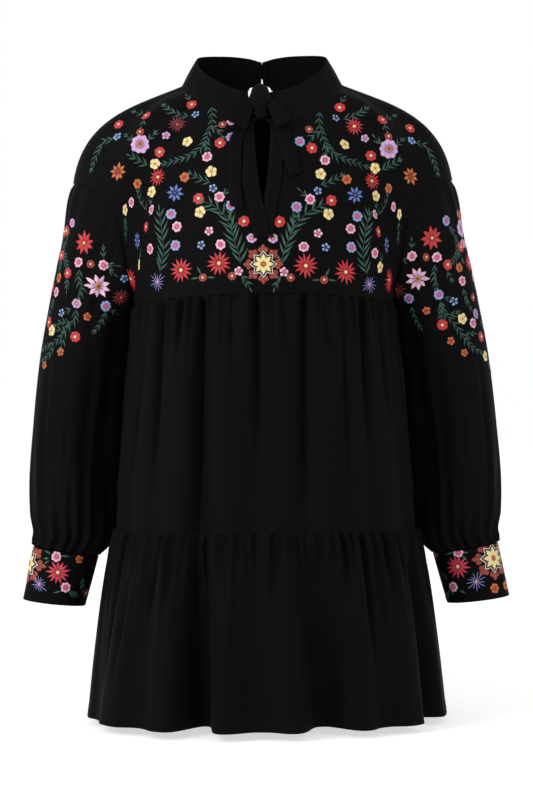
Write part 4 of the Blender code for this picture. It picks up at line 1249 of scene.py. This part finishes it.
# %% The kinds of flower: sizes in millimetres, and the threads of the petals, the ring and the eye
Flower = namedtuple(
    "Flower", "petals outline root reach wide heart edge heart_share ring ring_size eye eye_size"
)
FLOWERS = {
    "daisy_large": Flower(13, pointed, 2.6, 15.6, 1.70, RED, RED, 0.3, OCHRE, 2.9, CREAM, 2.1),
    "daisy_small": Flower(13, pointed, 2.2, 12.0, 1.25, RED, RED, 0.3, OCHRE, 2.6, CREAM, 1.8),
    # a darker copy of the small daisy: its darker threads are painted shade
    "daisy_painted_shade": Flower(13, pointed, 1.6, 12.0, 1.15, DEEP_RED, DEEP_RED, 0.3, RUST, 2.4, ORANGE, 1.5),
    "daisy_broad": Flower(9, pointed, 2.6, 15.4, 2.9, RED, RED, 0.3, DEEP_RED, 3.8, YELLOW, 2.2),
    "daisy_rose": Flower(13, pointed, 2.6, 15.6, 1.75, ROSE_RED, ROSE_RED, 0.3, OCHRE, 3.1, CREAM, 2.1),
    "daisy_lilac": Flower(9, pointed, 3.6, 14.8, 2.9, LILAC, PALE_PINK, 0.4, OCHRE, 4.6, BROWN, 2.4),
    "rose": Flower(9, rounded, 3.0, 12.6, 3.9, PURPLE, LILAC, 0.30, OCHRE, 5.0, BROWN, 2.8),
    "red": Flower(7, rounded, 1.4, 7.3, 2.8, DEEP_RED, RED, 0.16, RUST, 2.8, CREAM, 2.0),
    "pink": Flower(7, rounded, 1.0, 6.8, 2.5, MAGENTA, PALE_PINK, 0.46, MAGENTA, 1.6, PALE_PINK, 0.8),
    "pinkstar": Flower(5, rounded, 1.0, 5.9, 2.2, MAGENTA, PALE_PINK, 0.34, MAGENTA, 1.5, PALE_PINK, 0.7),
    "lilacstar": Flower(5, rounded, 1.0, 5.6, 2.2, MAGENTA, LILAC, 0.30, PURPLE, 1.6, PALE_PINK, 0.8),
    "bluepink": Flower(8, rounded, 1.0, 7.0, 2.4, MAGENTA, SKY, 0.48, MAGENTA, 1.8, SKY, 0.9),
    "lilac": Flower(6, rounded, 1.2, 6.2, 2.7, MAGENTA, LILAC, 0.34, OCHRE, 1.8, CREAM, 1.0),
    "blue": Flower(5, rounded, 1.4, 6.0, 2.3, BLUE, SKY, 0.34, NIGHT, 1.9, SKY, 0.8),
    "tiny": Flower(5, rounded, 1.6, 5.4, 1.9, BLUE, SKY, 0.26, NIGHT, 1.9, NIGHT, 1.2),
    "cream": Flower(5, rounded, 1.0, 7.4, 3.3, OCHRE, CREAM, 0.14, OCHRE, 1.4, OCHRE, 0.8),
    "orange": Flower(6, rounded, 1.2, 6.6, 2.5, RUST, ORANGE, 0.30, RUST, 1.8, RUST, 1.0),
    "berry": Flower(9, rounded, 1.0, 5.4, 1.8, DEEP_RED, RUST, 0.5, RUST, 3.2, CREAM, 1.6),
    "orange_small": Flower(5, rounded, 0.8, 5.4, 2.2, RUST, ORANGE, 0.36, RUST, 1.4, BROWN, 0.8),
    "ostar": Flower(8, diamond, 1.2, 11.8, 2.5, RUST, ORANGE, 0.34, RUST, 2.2, BROWN, 1.1),
    "bstar": Flower(8, diamond, 1.2, 11.0, 2.1, NIGHT, BLUE, 0.22, NIGHT, 1.8, SKY, 0.8),
    "burst": Flower(13, ray, 1.2, 11.4, 0.46, LILAC, PERIWINKLE, 0.34, LILAC, 1.6, PALE_PINK, 1.1),
    # the medallion's petals, which have no ring and no eye
    "flame": Flower(3, rounded, 13.4, 24.6, 2.6, DEEP_RED, RUST, 0.30, RUST, 1.0, RUST, 1.0),
    "core": Flower(8, diamond, 0.6, 4.6, 1.2, RUST, ORANGE, 0.5, RUST, 1.0, RUST, 1.0),
}

print(f"{len(FLOWERS)} kinds of flower")

# %% A spot on the cloth, and a few sums for threads
MM = 0.001
Spot = namedtuple("Spot", "place right up out side")


def spot_at(place, out, side):
    """A place on the cloth with the ways to the right, up and out of it."""
    out = out.normalized()
    up = (Vector((0, 0, 1)) - out * out.z).normalized()
    return Spot(place, up.cross(out), up, out, side)


def mix(first, second, share):
    return tuple(a + (b - a) * share for a, b in zip(first, second))


def dim(colour, share):
    return tuple(value * share for value in colour)


def aimed(along, aside, angle):
    """The x and y of a point along and beside a line at that angle from upright."""
    s, c = math.sin(angle), math.cos(angle)
    return along * s + aside * c, along * c - aside * s


# %% Threads laid on a cloth
class Threadwork:
    """Many small grids of thread, all in one mesh."""

    def __init__(self, name):
        self.name = name
        self.shape = bmesh.new()

    def finish(self, material):
        made = show(self.name, mesh_of(self.shape, self.name, material))
        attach(made, "root")
        print(f"{self.name}: {len(made.data.polygons)} faces")


# metres over the cloth where the ray that presses a thread on it starts, and its length
PRESS_FROM = 0.012
PRESS_REACH = 0.030


class Embroidery(Threadwork):
    """Dyed threads that are pressed on one cloth."""

    def __init__(self, name, ground):
        super().__init__(name)
        self.tree = ground.tree
        self.dye = self.shape.verts.layers.float_color.new("thread_colour")
        self.lay = self.shape.verts.layers.float_vector.new("stitch_lay")
        self.chance = random.Random(7)

    def set_thread(self, corner, point, out, height, colour, lay):
        """Presses a corner on the cloth and raises it. Height and lay are in millimetres."""
        hit = self.tree.ray_cast(point + out * PRESS_FROM, -out, PRESS_REACH)[0]
        pressed = hit or self.tree.find_nearest(point)[0]
        corner.co = pressed + out * (height * MM)
        corner[self.dye] = (*colour, 1.0)
        corner[self.lay] = (lay / LAY_UNIT_MM, 0, 0)

    def patch(self, spot, across, along, place):
        """One grid of thread. place(s, t) gives x, y, height, colour and the stitch's lay."""
        made = bmesh.ops.create_grid(self.shape, x_segments=across, y_segments=along, size=0.5)
        for corner in made["verts"]:
            x, y, *rest = place(2 * corner.co.x * spot.side, corner.co.y + 0.5)
            point = spot.place + spot.right * (x * spot.side * MM) + spot.up * (y * MM)
            self.set_thread(corner, point, spot.out, *rest)


# %% Petals, discs and flowers
def sew_petal(work, spot, angle, flower, stretch, shade, lift=0.0):
    """Long stitches with the heart's thread near the middle and the edge's further out."""

    def place(s, t):
        along = flower.root + (flower.reach * stretch - flower.root) * t
        aside = flower.wide * max(flower.outline(t), 0.08) * s
        streak = t + 0.30 * abs(s) - 0.12
        share = ease(streak, flower.heart_share - 0.12, flower.heart_share + 0.12)
        # shade is a random tone for each petal; the petal is also painted darker towards its sides, as
        # shade on the raised stitches
        colour = dim(mix(flower.heart, flower.edge, share), shade * (1 - 0.30 * s * s))
        height = lift + 0.16 + 0.42 * (1 - s * s) * (1 - 0.4 * t)
        return *aimed(along, aside, angle), height, colour, aside

    work.patch(spot, 4, 5, place)


def sew_disc(work, spot, size, low, high, colour):
    """A square grid drawn round, and raised in the middle. Its colour is painted darker towards the rim,
    as shade.
    """

    def place(s, t):
        a, b = s, 2 * t - 1
        x, y = a * math.sqrt(1 - b * b / 2), b * math.sqrt(1 - a * a / 2)
        raised = 1 - min(x * x + y * y, 1.0)
        height = low + high * math.sqrt(raised)
        # painted shade: darker where the disc is lower, towards its rim
        return x * size, y * size, height, dim(colour, 0.72 + 0.28 * raised), x * size

    work.patch(spot, 6, 6, place)


def sew_flower(work, spot, kind):
    flower = FLOWERS[kind]
    chance = work.chance
    first = chance.uniform(0, 2 * math.pi)
    spread = 0.18 if kind == "burst" else 0.05
    sew_disc(work, spot, flower.ring_size, 0.12, 0.5, flower.ring)
    for k in range(flower.petals):
        angle = first + 2 * math.pi * (k + chance.uniform(-0.08, 0.08)) / flower.petals
        shade = chance.uniform(0.88, 1.06)
        sew_petal(work, spot, angle, flower, chance.uniform(1 - 1.4 * spread, 1 + spread), shade)
    if flower.eye_size > 1.3 or flower.ring_size > 2.5:
        sew_disc(work, spot, flower.ring_size * 0.8, 0.45, 0.35, flower.ring)
    sew_disc(work, spot, flower.eye_size, 0.55, 0.5, flower.eye)


# %% The small medallion
EIGHTHS = [math.pi * k / 4 for k in range(8)]


def sew_star(work, spot, reach, inner, height, colour):
    """Eight kites side by side: a flat star with eight points."""
    waist = inner / reach
    half_width = inner * math.tan(math.pi / 8)
    for angle in EIGHTHS:

        def place(s, t):
            aside = half_width * min(t / waist, (1 - t) / (1 - waist)) * s
            # painted shade: each point is darker towards its edges and lighter along its middle
            return *aimed(reach * t, aside, angle), height, dim(colour, 1 - 0.16 * abs(s)), aside

        work.patch(spot, 2, 6, place)


def sew_medallion(work, spot, size=1.0):
    """Flames round a pale zigzag, a dark zigzag and a cream star with eight points."""
    flame = FLOWERS["flame"]
    root, reach, wide = dim((flame.root, flame.reach, flame.wide), size)
    flame = flame._replace(root=root, reach=reach, wide=wide)
    for angle in EIGHTHS:
        for lobe, stretch in ((-0.21, 0.86), (0.21, 0.86), (0.0, 1.0)):
            shade = work.chance.uniform(0.70, 1.0)
            sew_petal(work, spot, angle + lobe, flame, stretch, shade)
    sew_star(work, spot, 16.8 * size, 11.0 * size, 0.72, PALE)
    sew_star(work, spot, 15.5 * size, 10.0 * size, 0.90, BLACK)
    sew_star(work, spot, 12.9 * size, 7.6 * size, 1.08, CREAM)
    for angle in EIGHTHS:
        sew_petal(work, spot, angle, FLOWERS["core"], 1.0, 1.0, lift=1.0)


# %% Leaves and stems
STEM_HALF_WIDTH = 0.36 * MM


def sew_leaf(work, spot, angle, length, wide):
    """A blade with one light and one dark half: the light half is a painted sheen."""
    bend = work.chance.uniform(-0.07, 0.07)
    shade = work.chance.uniform(0.8, 1.15)
    light = work.chance.choice((-1, 1))

    def place(s, t):
        along = length * t
        aside = wide * max(blade(t), 0.08) * s + bend * length * t * t
        # painted sheen: one half of the leaf takes the lighter thread
        colour = dim(mix(LEAF, LEAF_SHEEN, 0.85 if s * light > 0.2 else 0.12), shade)
        height = 0.12 + 0.34 * (1 - s * s) * math.sin(math.pi * min(0.15 + 0.85 * t, 1.0))
        return *aimed(along, aside, angle), height, colour, along * 0.8 + abs(aside)

    work.patch(spot, 4, 5, place)


def sew_stem(work, spots):
    """A thin line of stitches through many spots."""
    last = len(spots) - 1
    made = bmesh.ops.create_grid(work.shape, x_segments=2, y_segments=last, size=0.5)
    for corner in made["verts"]:
        s = 2 * corner.co.x
        row = round((corner.co.y + 0.5) * last)
        spot = spots[row]
        ahead = spots[min(row + 1, last)].place - spots[max(row - 1, 0)].place
        point = spot.place + ahead.cross(spot.out).normalized() * (STEM_HALF_WIDTH * s)
        height = 0.10 + 0.30 * (1 - s * s)
        work.set_thread(corner, point, spot.out, height, STEM, 0.12 * row + 0.2 * s)


# %% A stem with its leaves
Sprig = namedtuple("Sprig", "gap length wide spread")
YOKE_SPRIG = Sprig(7.6, 11.5, 1.0, 32)
LARGE_STEM = Sprig(9.0, 18.0, 1.35, 34)
ARM_SPRIG = Sprig(6.6, 10.5, 0.9, 30)


def course_at(spots, k):
    """The way in which a row of spots runs there, as an angle from upright."""
    ahead = spots[min(k + 2, len(spots) - 1)].place - spots[max(k - 2, 0)].place
    return math.atan2(ahead.dot(spots[k].right) * spots[k].side, ahead.dot(spots[k].up))


def sew_sprig(work, spots, sprig):
    """A stem with leaves in pairs that point towards its tip. The spots lie 1 mm apart."""
    sew_stem(work, spots)
    chance = work.chance
    count = len(spots)
    at = 0.35 * sprig.gap
    while at < count - 1.5:
        k = int(at)
        full = sprig.length * (1 - 0.35 * ease(at, count - 2.5 * sprig.gap, count))
        for aside in (-1, 1):
            angle = course_at(spots, k) + aside * math.radians(sprig.spread + chance.uniform(-6, 6))
            sew_leaf(work, spots[k], angle, full * chance.uniform(0.85, 1.1), sprig.wide)
        at += sprig.gap * chance.uniform(0.9, 1.1)
    sew_leaf(work, spots[-1], course_at(spots, count - 1), 0.62 * sprig.length, sprig.wide)


def on_curve(a, b, c, d, t):
    """A smooth way from b to c, with a before them and d after them."""
    bend = 2 * a - 5 * b + 4 * c - d
    twist = 3 * b - a - 3 * c + d
    return 0.5 * (2 * b + (c - a) * t + bend * t * t + twist * t**3)


def smooth_line(points, step=1.0):
    """Points on a smooth curve through a few given ones, about a step apart."""
    line = []
    for i in range(len(points) - 1):
        before, start = points[max(i - 1, 0)], points[i]
        end, after = points[i + 1], points[min(i + 2, len(points) - 1)]
        count = max(2, round(math.dist(start, end) / step))
        for k in range(count):
            line.append(tuple(on_curve(*four, k / count) for four in zip(before, start, end, after)))
    line.append(tuple(points[-1]))
    return line


# %% Where the yoke's flowers are: distance from the centre line and level, in millimetres
YOKE_FLOWERS = {
    "daisy_large": ((101, -234), (54, -227), (167, -240)),
    "daisy_small": ((130, -116),),
    # this daisy's darker threads are painted shade
    "daisy_painted_shade": ((106, -49),),
    "lilacstar": ((120, -63),),
    "red": (
        (88, -23), (52, -77), (128, -84), (146, -35), (182, -43), (79, -146), (145, -178), (23, -176),
    ),
    "rose": ((153, -73),),
    "lilac": ((38, -49), (14, -197)),
    "berry": ((49, -53), (153, -57), (74, -244), (38, -243)),
    "tiny": ((83, -37), (61, -134), (76, -204)),
    "blue": ((183, -60),),
    "bluepink": ((38, -70), (113, -164), (108, -203), (39, -156)),
    "pink": ((68, -94), (53, -145), (164, -146), (138, -157), (106, -180), (140, -206), (52, -204)),
    "pinkstar": ((66, -187), (30, -237)),
    "cream": ((93, -73), (134, -99), (138, -134), (63, -113), (172, -155), (155, -224), (77, -163)),
    "orange": ((156, -123), (96, -119)),
    "ostar": ((181, -107),),
    "bstar": ((108, -138), (157, -194)),
    "burst": ((131, -247),),
}
YOKE_SPRIGS = (
    ((63, -28), (62, -44), (65, -59), (70, -72), (79, -85), (93, -93), (108, -97), (122, -99)),
    ((63, -54), (54, -61), (50, -68)), ((70, -72), (68, -88)),
    ((92, -39), (102, -37), (113, -31), (123, -23)), ((90, -17), (94, -11)),
    ((151, -32), (162, -27)), ((148, -41), (151, -49)), ((162, -68), (171, -60)), ((143, -68), (135, -60)),
    ((188, -63), (200, -65), (208, -77), (214, -94), (216, -100)), ((143, -100), (154, -94), (165, -88)),
    ((64, -127), (76, -122), (88, -115)), ((49, -142), (41, -136)),
    ((144, -157), (149, -151), (154, -141), (156, -130)), ((139, -151), (140, -143)),
    ((38, -187), (38, -174), (40, -163)),
    ((154, -218), (153, -210)),
    ((27, -242), (21, -249), (17, -257)), ((172, -164), (172, -188)),
)
# the two large stems at the sides of the front
YOKE_STEMS = (
    ((128, -235), (123, -210), (125, -183), (128, -160)),
    ((28, -228), (29, -217), (34, -203), (38, -188), (44, -173), (53, -161), (64, -154), (73, -150)),
)
# single leaves: distance from the centre line, level, angle from upright and outwards, length
YOKE_LEAVES = ((79, -244, 95, 11), (69, -244, -92, 11), (76, -240, 28, 12))
MEDALLION = (0, -229)
# on the wearer's left half this flower's place lies under the bow
UNDER_THE_LOOP = (38, -49)


def sewn_at(x, z, side):
    """The wearer's left half is sewn a little lower, and further out near the neck."""
    if side < 0:
        return x, z
    low = -z
    further = 9.0 * (1 - ease(low, 90, 215)) * ease(x, 10, 45) * (1 - 0.45 * ease(x, 105, 150))
    further -= 5.0 * ease(low, 130, 200) * ease(x, 5, 25) * (1 - ease(x, 35, 70))
    further -= 4.0 * ease(low, 95, 135) * ease(x, 125, 155)
    further -= 6.5 * ease(low, 200, 226) * ease(x, 138, 155)
    lower = 4.0 * ease(x, 5, 60) + 4.5 * ease(x, 100, 150) * (1 - 0.6 * ease(low, 195, 240))
    lower += 3.5 * (1 - ease(low, 75, 110)) * (1 - ease(x, 60, 110))
    return x + further, z - lower


def yoke_spot(x, z, side):
    """A spot on the yoke. Towards the sides the cloth is drawn in, and the motifs are narrow."""
    x, z = sewn_at(x, z, side)
    point, _ = yoke_front.ahead(side * x * MM, z * MM)
    out = Vector((0, -0.6, 0))
    for aside, above in ((0, 0), (5, 0), (-5, 0), (0, 5), (0, -5)):
        out += yoke_front.ahead((side * x + aside) * MM, (z + above) * MM)[1]
    narrow = 1 - 0.6 * ease(x, 118, 160) * ease(-z, 95, 165) * (1 - 0.7 * ease(-z, 232, 242))
    spot = spot_at(point, out, side)
    return spot._replace(right=spot.right * narrow)


# %% The yoke's embroidery
def embroider_yoke():
    work = Embroidery("yoke_front_embroidery", yoke_front)
    for side in (1, -1):
        for sprig, lines in ((YOKE_SPRIG, YOKE_SPRIGS), (LARGE_STEM, YOKE_STEMS)):
            for line in lines:
                sew_sprig(work, [yoke_spot(x, z, side) for x, z in smooth_line(line)], sprig)
        for x, z, degrees, length in YOKE_LEAVES:
            sew_leaf(work, yoke_spot(x, z, side), math.radians(degrees), length, 1.3)
        for kind, places in YOKE_FLOWERS.items():
            for x, z in places:
                # the daisy with painted shade is sewn only on the wearer's right half; the left half gets
                # the plain small daisy
                shown = "daisy_small" if kind == "daisy_painted_shade" and side > 0 else kind
                if side < 0 or (x, z) != UNDER_THE_LOOP:
                    sew_flower(work, yoke_spot(x, z, side), shown)
    sew_medallion(work, yoke_spot(*MEDALLION, 1))
    work.finish(THREAD)


embroider_yoke()

# %% Where the sleeves' flowers are: degrees round the arm, from the front outwards, and level
SLEEVE_FLOWERS = {
    "bluepink": ((38, -169), (2, -263), (60, -286), (-34, -267)),
    "rose": ((90, -176),),
    "orange": ((98, -158), (46, -228)),
    "orange_small": ((-16, -283), (8, -321), (24, -336)),
    "lilac": ((96, -196), (84, -239)),
    "red": ((72, -201), (24, -225), (0, -301), (62, -315)),
    "daisy_broad": ((6, -192),),
    "daisy_small": ((82, -221),),
    # this daisy's darker threads are painted shade on the sleeve's inner side
    "daisy_painted_shade": ((-45, -255),),
    "daisy_lilac": ((-20, -243),),
    "pink": ((-24, -215), (8, -216), (44, -245), (48, -298)),
    "berry": ((-8, -216), (62, -265)),
    "tiny": ((22, -271), (-44, -238)),
    "cream": ((30, -293), (64, -340)),
}
SLEEVE_SPRIGS = (
    ((46, -176), (64, -188), (58, -206), (36, -221)), ((58, -206), (62, -218)),
    ((4, -225), (0, -240), (0, -255)), ((20, -233), (24, -243)),
    ((42, -254), (44, -269), (50, -279)),
    ((2, -271), (6, -286), (18, -301), (26, -315), (38, -329), (56, -336)),
    ((12, -290), (24, -285)), ((4, -273), (0, -291)), ((28, -314), (46, -312)),
    ((-34, -277), (-32, -294), (-28, -303)), ((-24, -206), (-22, -197)), ((-30, -219), (-40, -217)),
    ((8, -267), (18, -268)), ((84, -250), (84, -262)), ((70, -294), (80, -306)), ((70, -346), (82, -358)),
)
CUFF_FLOWERS = {
    "medallion": ((52, -598),),
    "daisy_rose": ((-32, -608),),
    "burst": ((0, -627),),
    "pink": ((-52, -634), (-24, -590)),
    "orange": ((38, -636), (70, -634)),
    "berry": ((-75, -593),),
}
CUFF_SPRIGS = (((-60, -626), (-74, -618)), ((-64, -641), (-84, -650)))

# %% The wearer's right sleeve is turned a little on the arm, so it has lists of its own
RIGHT_SLEEVE_FLOWERS = {
    "lilac": ((64, -167), (18, -270)),
    "daisy_broad": ((26, -194),),
    "pink": ((28, -218), (-12, -223), (62, -254)),
    "berry": ((6, -221),),
    "red": ((44, -231), (66, -292), (12, -312), (98, -176), (98, -207), (98, -247)),
    "orange": ((64, -236),),
    "orange_small": ((0, -287), (30, -331), (58, -347)),
    "daisy_lilac": ((-8, -249),),
    "tiny": ((-34, -240), (40, -281)),
    "bluepink": ((-20, -274),),
    # this daisy's darker threads are painted shade on the sleeve's inner side
    "daisy_painted_shade": ((-36, -263),),
    "cream": ((54, -303),),
}
RIGHT_SLEEVE_SPRIGS = (
    ((72, -174), (80, -185), (82, -198), (78, -210), (70, -225)), ((78, -203), (58, -217), (48, -225)),
    ((42, -237), (38, -252)), ((22, -227), (20, -241), (14, -253), (16, -263)),
    ((66, -261), (68, -273), (74, -283)),
    ((18, -277), (16, -288), (24, -301), (30, -309), (42, -318), (56, -323), (72, -327)),
    ((20, -297), (36, -293), (46, -296)), ((26, -307), (36, -302), (44, -304)), ((28, -314), (30, -326)),
    ((24, -276), (34, -280)), ((42, -324), (54, -336), (66, -341)),
    ((-22, -281), (-18, -294), (-12, -305)), ((-26, -279), (-36, -283)),
    ((-12, -214), (-10, -202)), ((-16, -222), (-26, -224)), ((-18, -227), (-24, -234)),
)
RIGHT_CUFF_FLOWERS = {
    "medallion": ((100, -601),),
    "daisy_rose": ((2, -611),),
    "burst": ((38, -626),),
    "pink": ((14, -591), (-22, -630)),
    "orange_small": ((-38, -595),),
    "berry": ((-72, -639),),
}
RIGHT_CUFF_SPRIGS = (((-54, -619), (-60, -634)), ((-30, -636), (-46, -640)))
# single leaves on a cuff: degrees round it, level, angle from upright and outwards, length
RIGHT_CUFF_LEAVES = (
    (28, -588, 62, 11), (30, -593, 96, 9), (28, -596, 124, 10), (4, -590, -98, 11),
    (-14, -635, 102, 10),
)
LEFT_CUFF_LEAVES = (
    (-16, -587, 62, 11), (-16, -591, 80, 9), (-18, -594, 128, 10), (-34, -590, -104, 10),
    (-40, -638, 118, 9), (-58, -638, 170, 8), (-62, -638, -150, 8),
)

# %% The sleeves' and cuffs' embroidery
# one degree round the arm is about this long
MM_PER_DEGREE = 0.8
CUFF_MEDALLION = 1.16
# rays at an arm start this far from its middle
OUTSIDE_ARM = 0.12
TUBES = {
    ("sleeve", 1): (SLEEVE_RINGS, SLEEVE_FLOWERS, SLEEVE_SPRIGS, ()),
    ("cuff", 1): (CUFF_RINGS, CUFF_FLOWERS, CUFF_SPRIGS, LEFT_CUFF_LEAVES),
    ("sleeve", -1): (SLEEVE_RINGS, RIGHT_SLEEVE_FLOWERS, RIGHT_SLEEVE_SPRIGS, ()),
    ("cuff", -1): (CUFF_RINGS, RIGHT_CUFF_FLOWERS, RIGHT_CUFF_SPRIGS, RIGHT_CUFF_LEAVES),
}


def round_arm(ground, rings, degrees, z, side):
    """The spot on a sleeve or cuff at an angle round it and a level, both as in the tables."""
    low, high = 0.0, 1.0
    for _ in range(20):
        share = (low + high) / 2
        ring = read_table(rings, share)
        low, high = (share, high) if (ring[2] + ring[4]) / 2 > z * MM else (low, share)
    away = Vector((math.sin(math.radians(degrees)), -math.cos(math.radians(degrees)), 0))
    centre = Vector(((ring[1] + ring[3]) / 2, ring[6], z * MM))
    start = other_side(centre + away * OUTSIDE_ARM, side)
    point, normal = ground.tree.ray_cast(start, -other_side(away, side))[:2]
    return spot_at(point, normal, side)


def embroider_tube(name, ground, side, rings, flowers, sprigs, leaves):
    """The motifs of a sleeve or cuff, on its front and once more on its back."""
    work = Embroidery(name, ground)

    def spot_on(degrees, z):
        return round_arm(ground, rings, degrees, z, side)

    for back in (False, True):

        def turned(degrees):
            return 180 - degrees if back else degrees

        for line in sprigs:
            fine = smooth_line([(turned(a) * MM_PER_DEGREE, z) for a, z in line])
            sew_sprig(work, [spot_on(a / MM_PER_DEGREE, z) for a, z in fine], ARM_SPRIG)
        for a, z, degrees, length in leaves:
            angle = math.radians(-degrees if back else degrees)
            sew_leaf(work, spot_on(turned(a), z), angle, length, 1.4)
        for kind, places in flowers.items():
            for a, z in places:
                spot = spot_on(turned(a), z)
                if kind == "medallion":
                    sew_medallion(work, spot, CUFF_MEDALLION)
                else:
                    sew_flower(work, spot, kind)
    work.finish(THREAD)


for (tube, side), tables in TUBES.items():
    name = f"{tube}_{'left' if side > 0 else 'right'}_embroidery"
    embroider_tube(name, Ground(sleeves[tube, side]), side, *tables)

# %% [markdown]
# ## Sewing thread
#
# Rows of lockstitch hold a garment's edges down. Each stitch here is a tiny bent grid of black
# thread. A row follows a curve on the outer face of the cloth, a few millimetres from the edge.


# %% Rows of stitches
# the share of each step that its stitch fills
STITCH_SHARE = 0.72
STITCH_HALF_WIDTH = 0.26 * MM


def outer_face(place, u, v, wall, axis):
    """A point of a cloth's outer face and the way out, which leads off an upright line at axis."""
    point = place(u, v)
    out = (place(u + 1e-4, v) - point).cross(place(u, v + 1e-4) - point).normalized()
    if out.dot(Vector((point.x - axis[0], point.y - axis[1], 0))) < 0:
        out = -out
    return point + out * (wall / 2), out


class Sewing(Threadwork):
    """Rows of short bars of thread."""

    def stitch(self, start, end, out):
        made = bmesh.ops.create_grid(self.shape, x_segments=2, y_segments=3, size=0.5)
        aside = (end - start).cross(out).normalized()
        for corner in made["verts"]:
            s, t = 2 * corner.co.x, corner.co.y + 0.5
            high = 0.05 + 0.30 * (1 - 0.7 * s * s) * math.sin(math.pi * (0.08 + 0.84 * t))
            corner.co = start.lerp(end, t) + aside * (STITCH_HALF_WIDTH * s) + out * (high * MM)

    def row(self, place, first, last, count, wall=WALL, axis=(0, 0)):
        """A row on the cloth that place(u, v) lays out, from the first u and v to the last."""
        for k in range(count):
            ends = []
            for off in (-STITCH_SHARE / 2, STITCH_SHARE / 2):
                u, v = mix(first, last, (k + 0.5 + off) / count)
                ends.append(outer_face(place, u, v, wall, axis))
            (start, out), (end, _) = ends
            self.stitch(start, end, out)

    def finish(self, material):
        bmesh.ops.recalc_face_normals(self.shape, faces=self.shape.faces)
        super().finish(material)


# %% Hems, yoke, front strips, bands and button
def sew_hems():
    work = Sewing("hem_stitches")
    work.row(ruffle_point, (0, 0.946), (1, 0.946), 470)
    work.row(tier_point, (0, 0.9915), (1, 0.9915), 360)
    work.finish(SEWING)


def sew_yoke():
    work = Sewing("yoke_stitches")
    for side in (1, -1):
        for facing in (-1, 1):

            def place(share, down):
                return other_side(yoke_point(share, down, facing), side)

            work.row(place, (0.004, 0.987), (0.494, 0.987), 84)
    for strip in (PLACKET_RIGHT, PLACKET_LEFT):
        for across in (0.14, 0.86):
            work.row(partial(placket_point, strip), (across, 0.01), (across, 0.98), 48)
    work.finish(SEWING)


def sew_bands():
    work = Sewing("band_stitches")
    ring = CUFF_RINGS[1]
    for side in (1, -1):

        def place(turn, down):
            return other_side(cuff_point(turn, down), side)

        axis = (side * (ring[1] + ring[3]) / 2, ring[6])
        for down in (0.05, 0.95):
            work.row(place, (0, down), (1, down), 78, axis=axis)
        for up in (0.07, 0.93):
            work.row(partial(collar_point, side), (0.01, up), (0.99, up), 82)
    for tail in (TAIL_RIGHT, TAIL_LEFT):
        for across in (0.10, 0.90):
            place = partial(tail_point, tail)
            work.row(place, (across, 0.10), (across, 0.98), 34, wall=RIBBON_WALL)
    work.finish(SEWING)


def sew_button():
    """Two bars of thread across the middle of the button."""
    work = Sewing("button_thread")
    out = button_place.to_3x3() @ Vector((0, 0, 1))
    high = 0.42 * BUTTON_HALF_THICK
    for aside in (-0.0009, 0.0009):
        ends = [button_place @ Vector((aside, along, high)) for along in (-0.0011, 0.0011)]
        work.stitch(*ends, out)
    work.finish(SEWING)


sew_hems()
sew_yoke()
sew_bands()
sew_button()
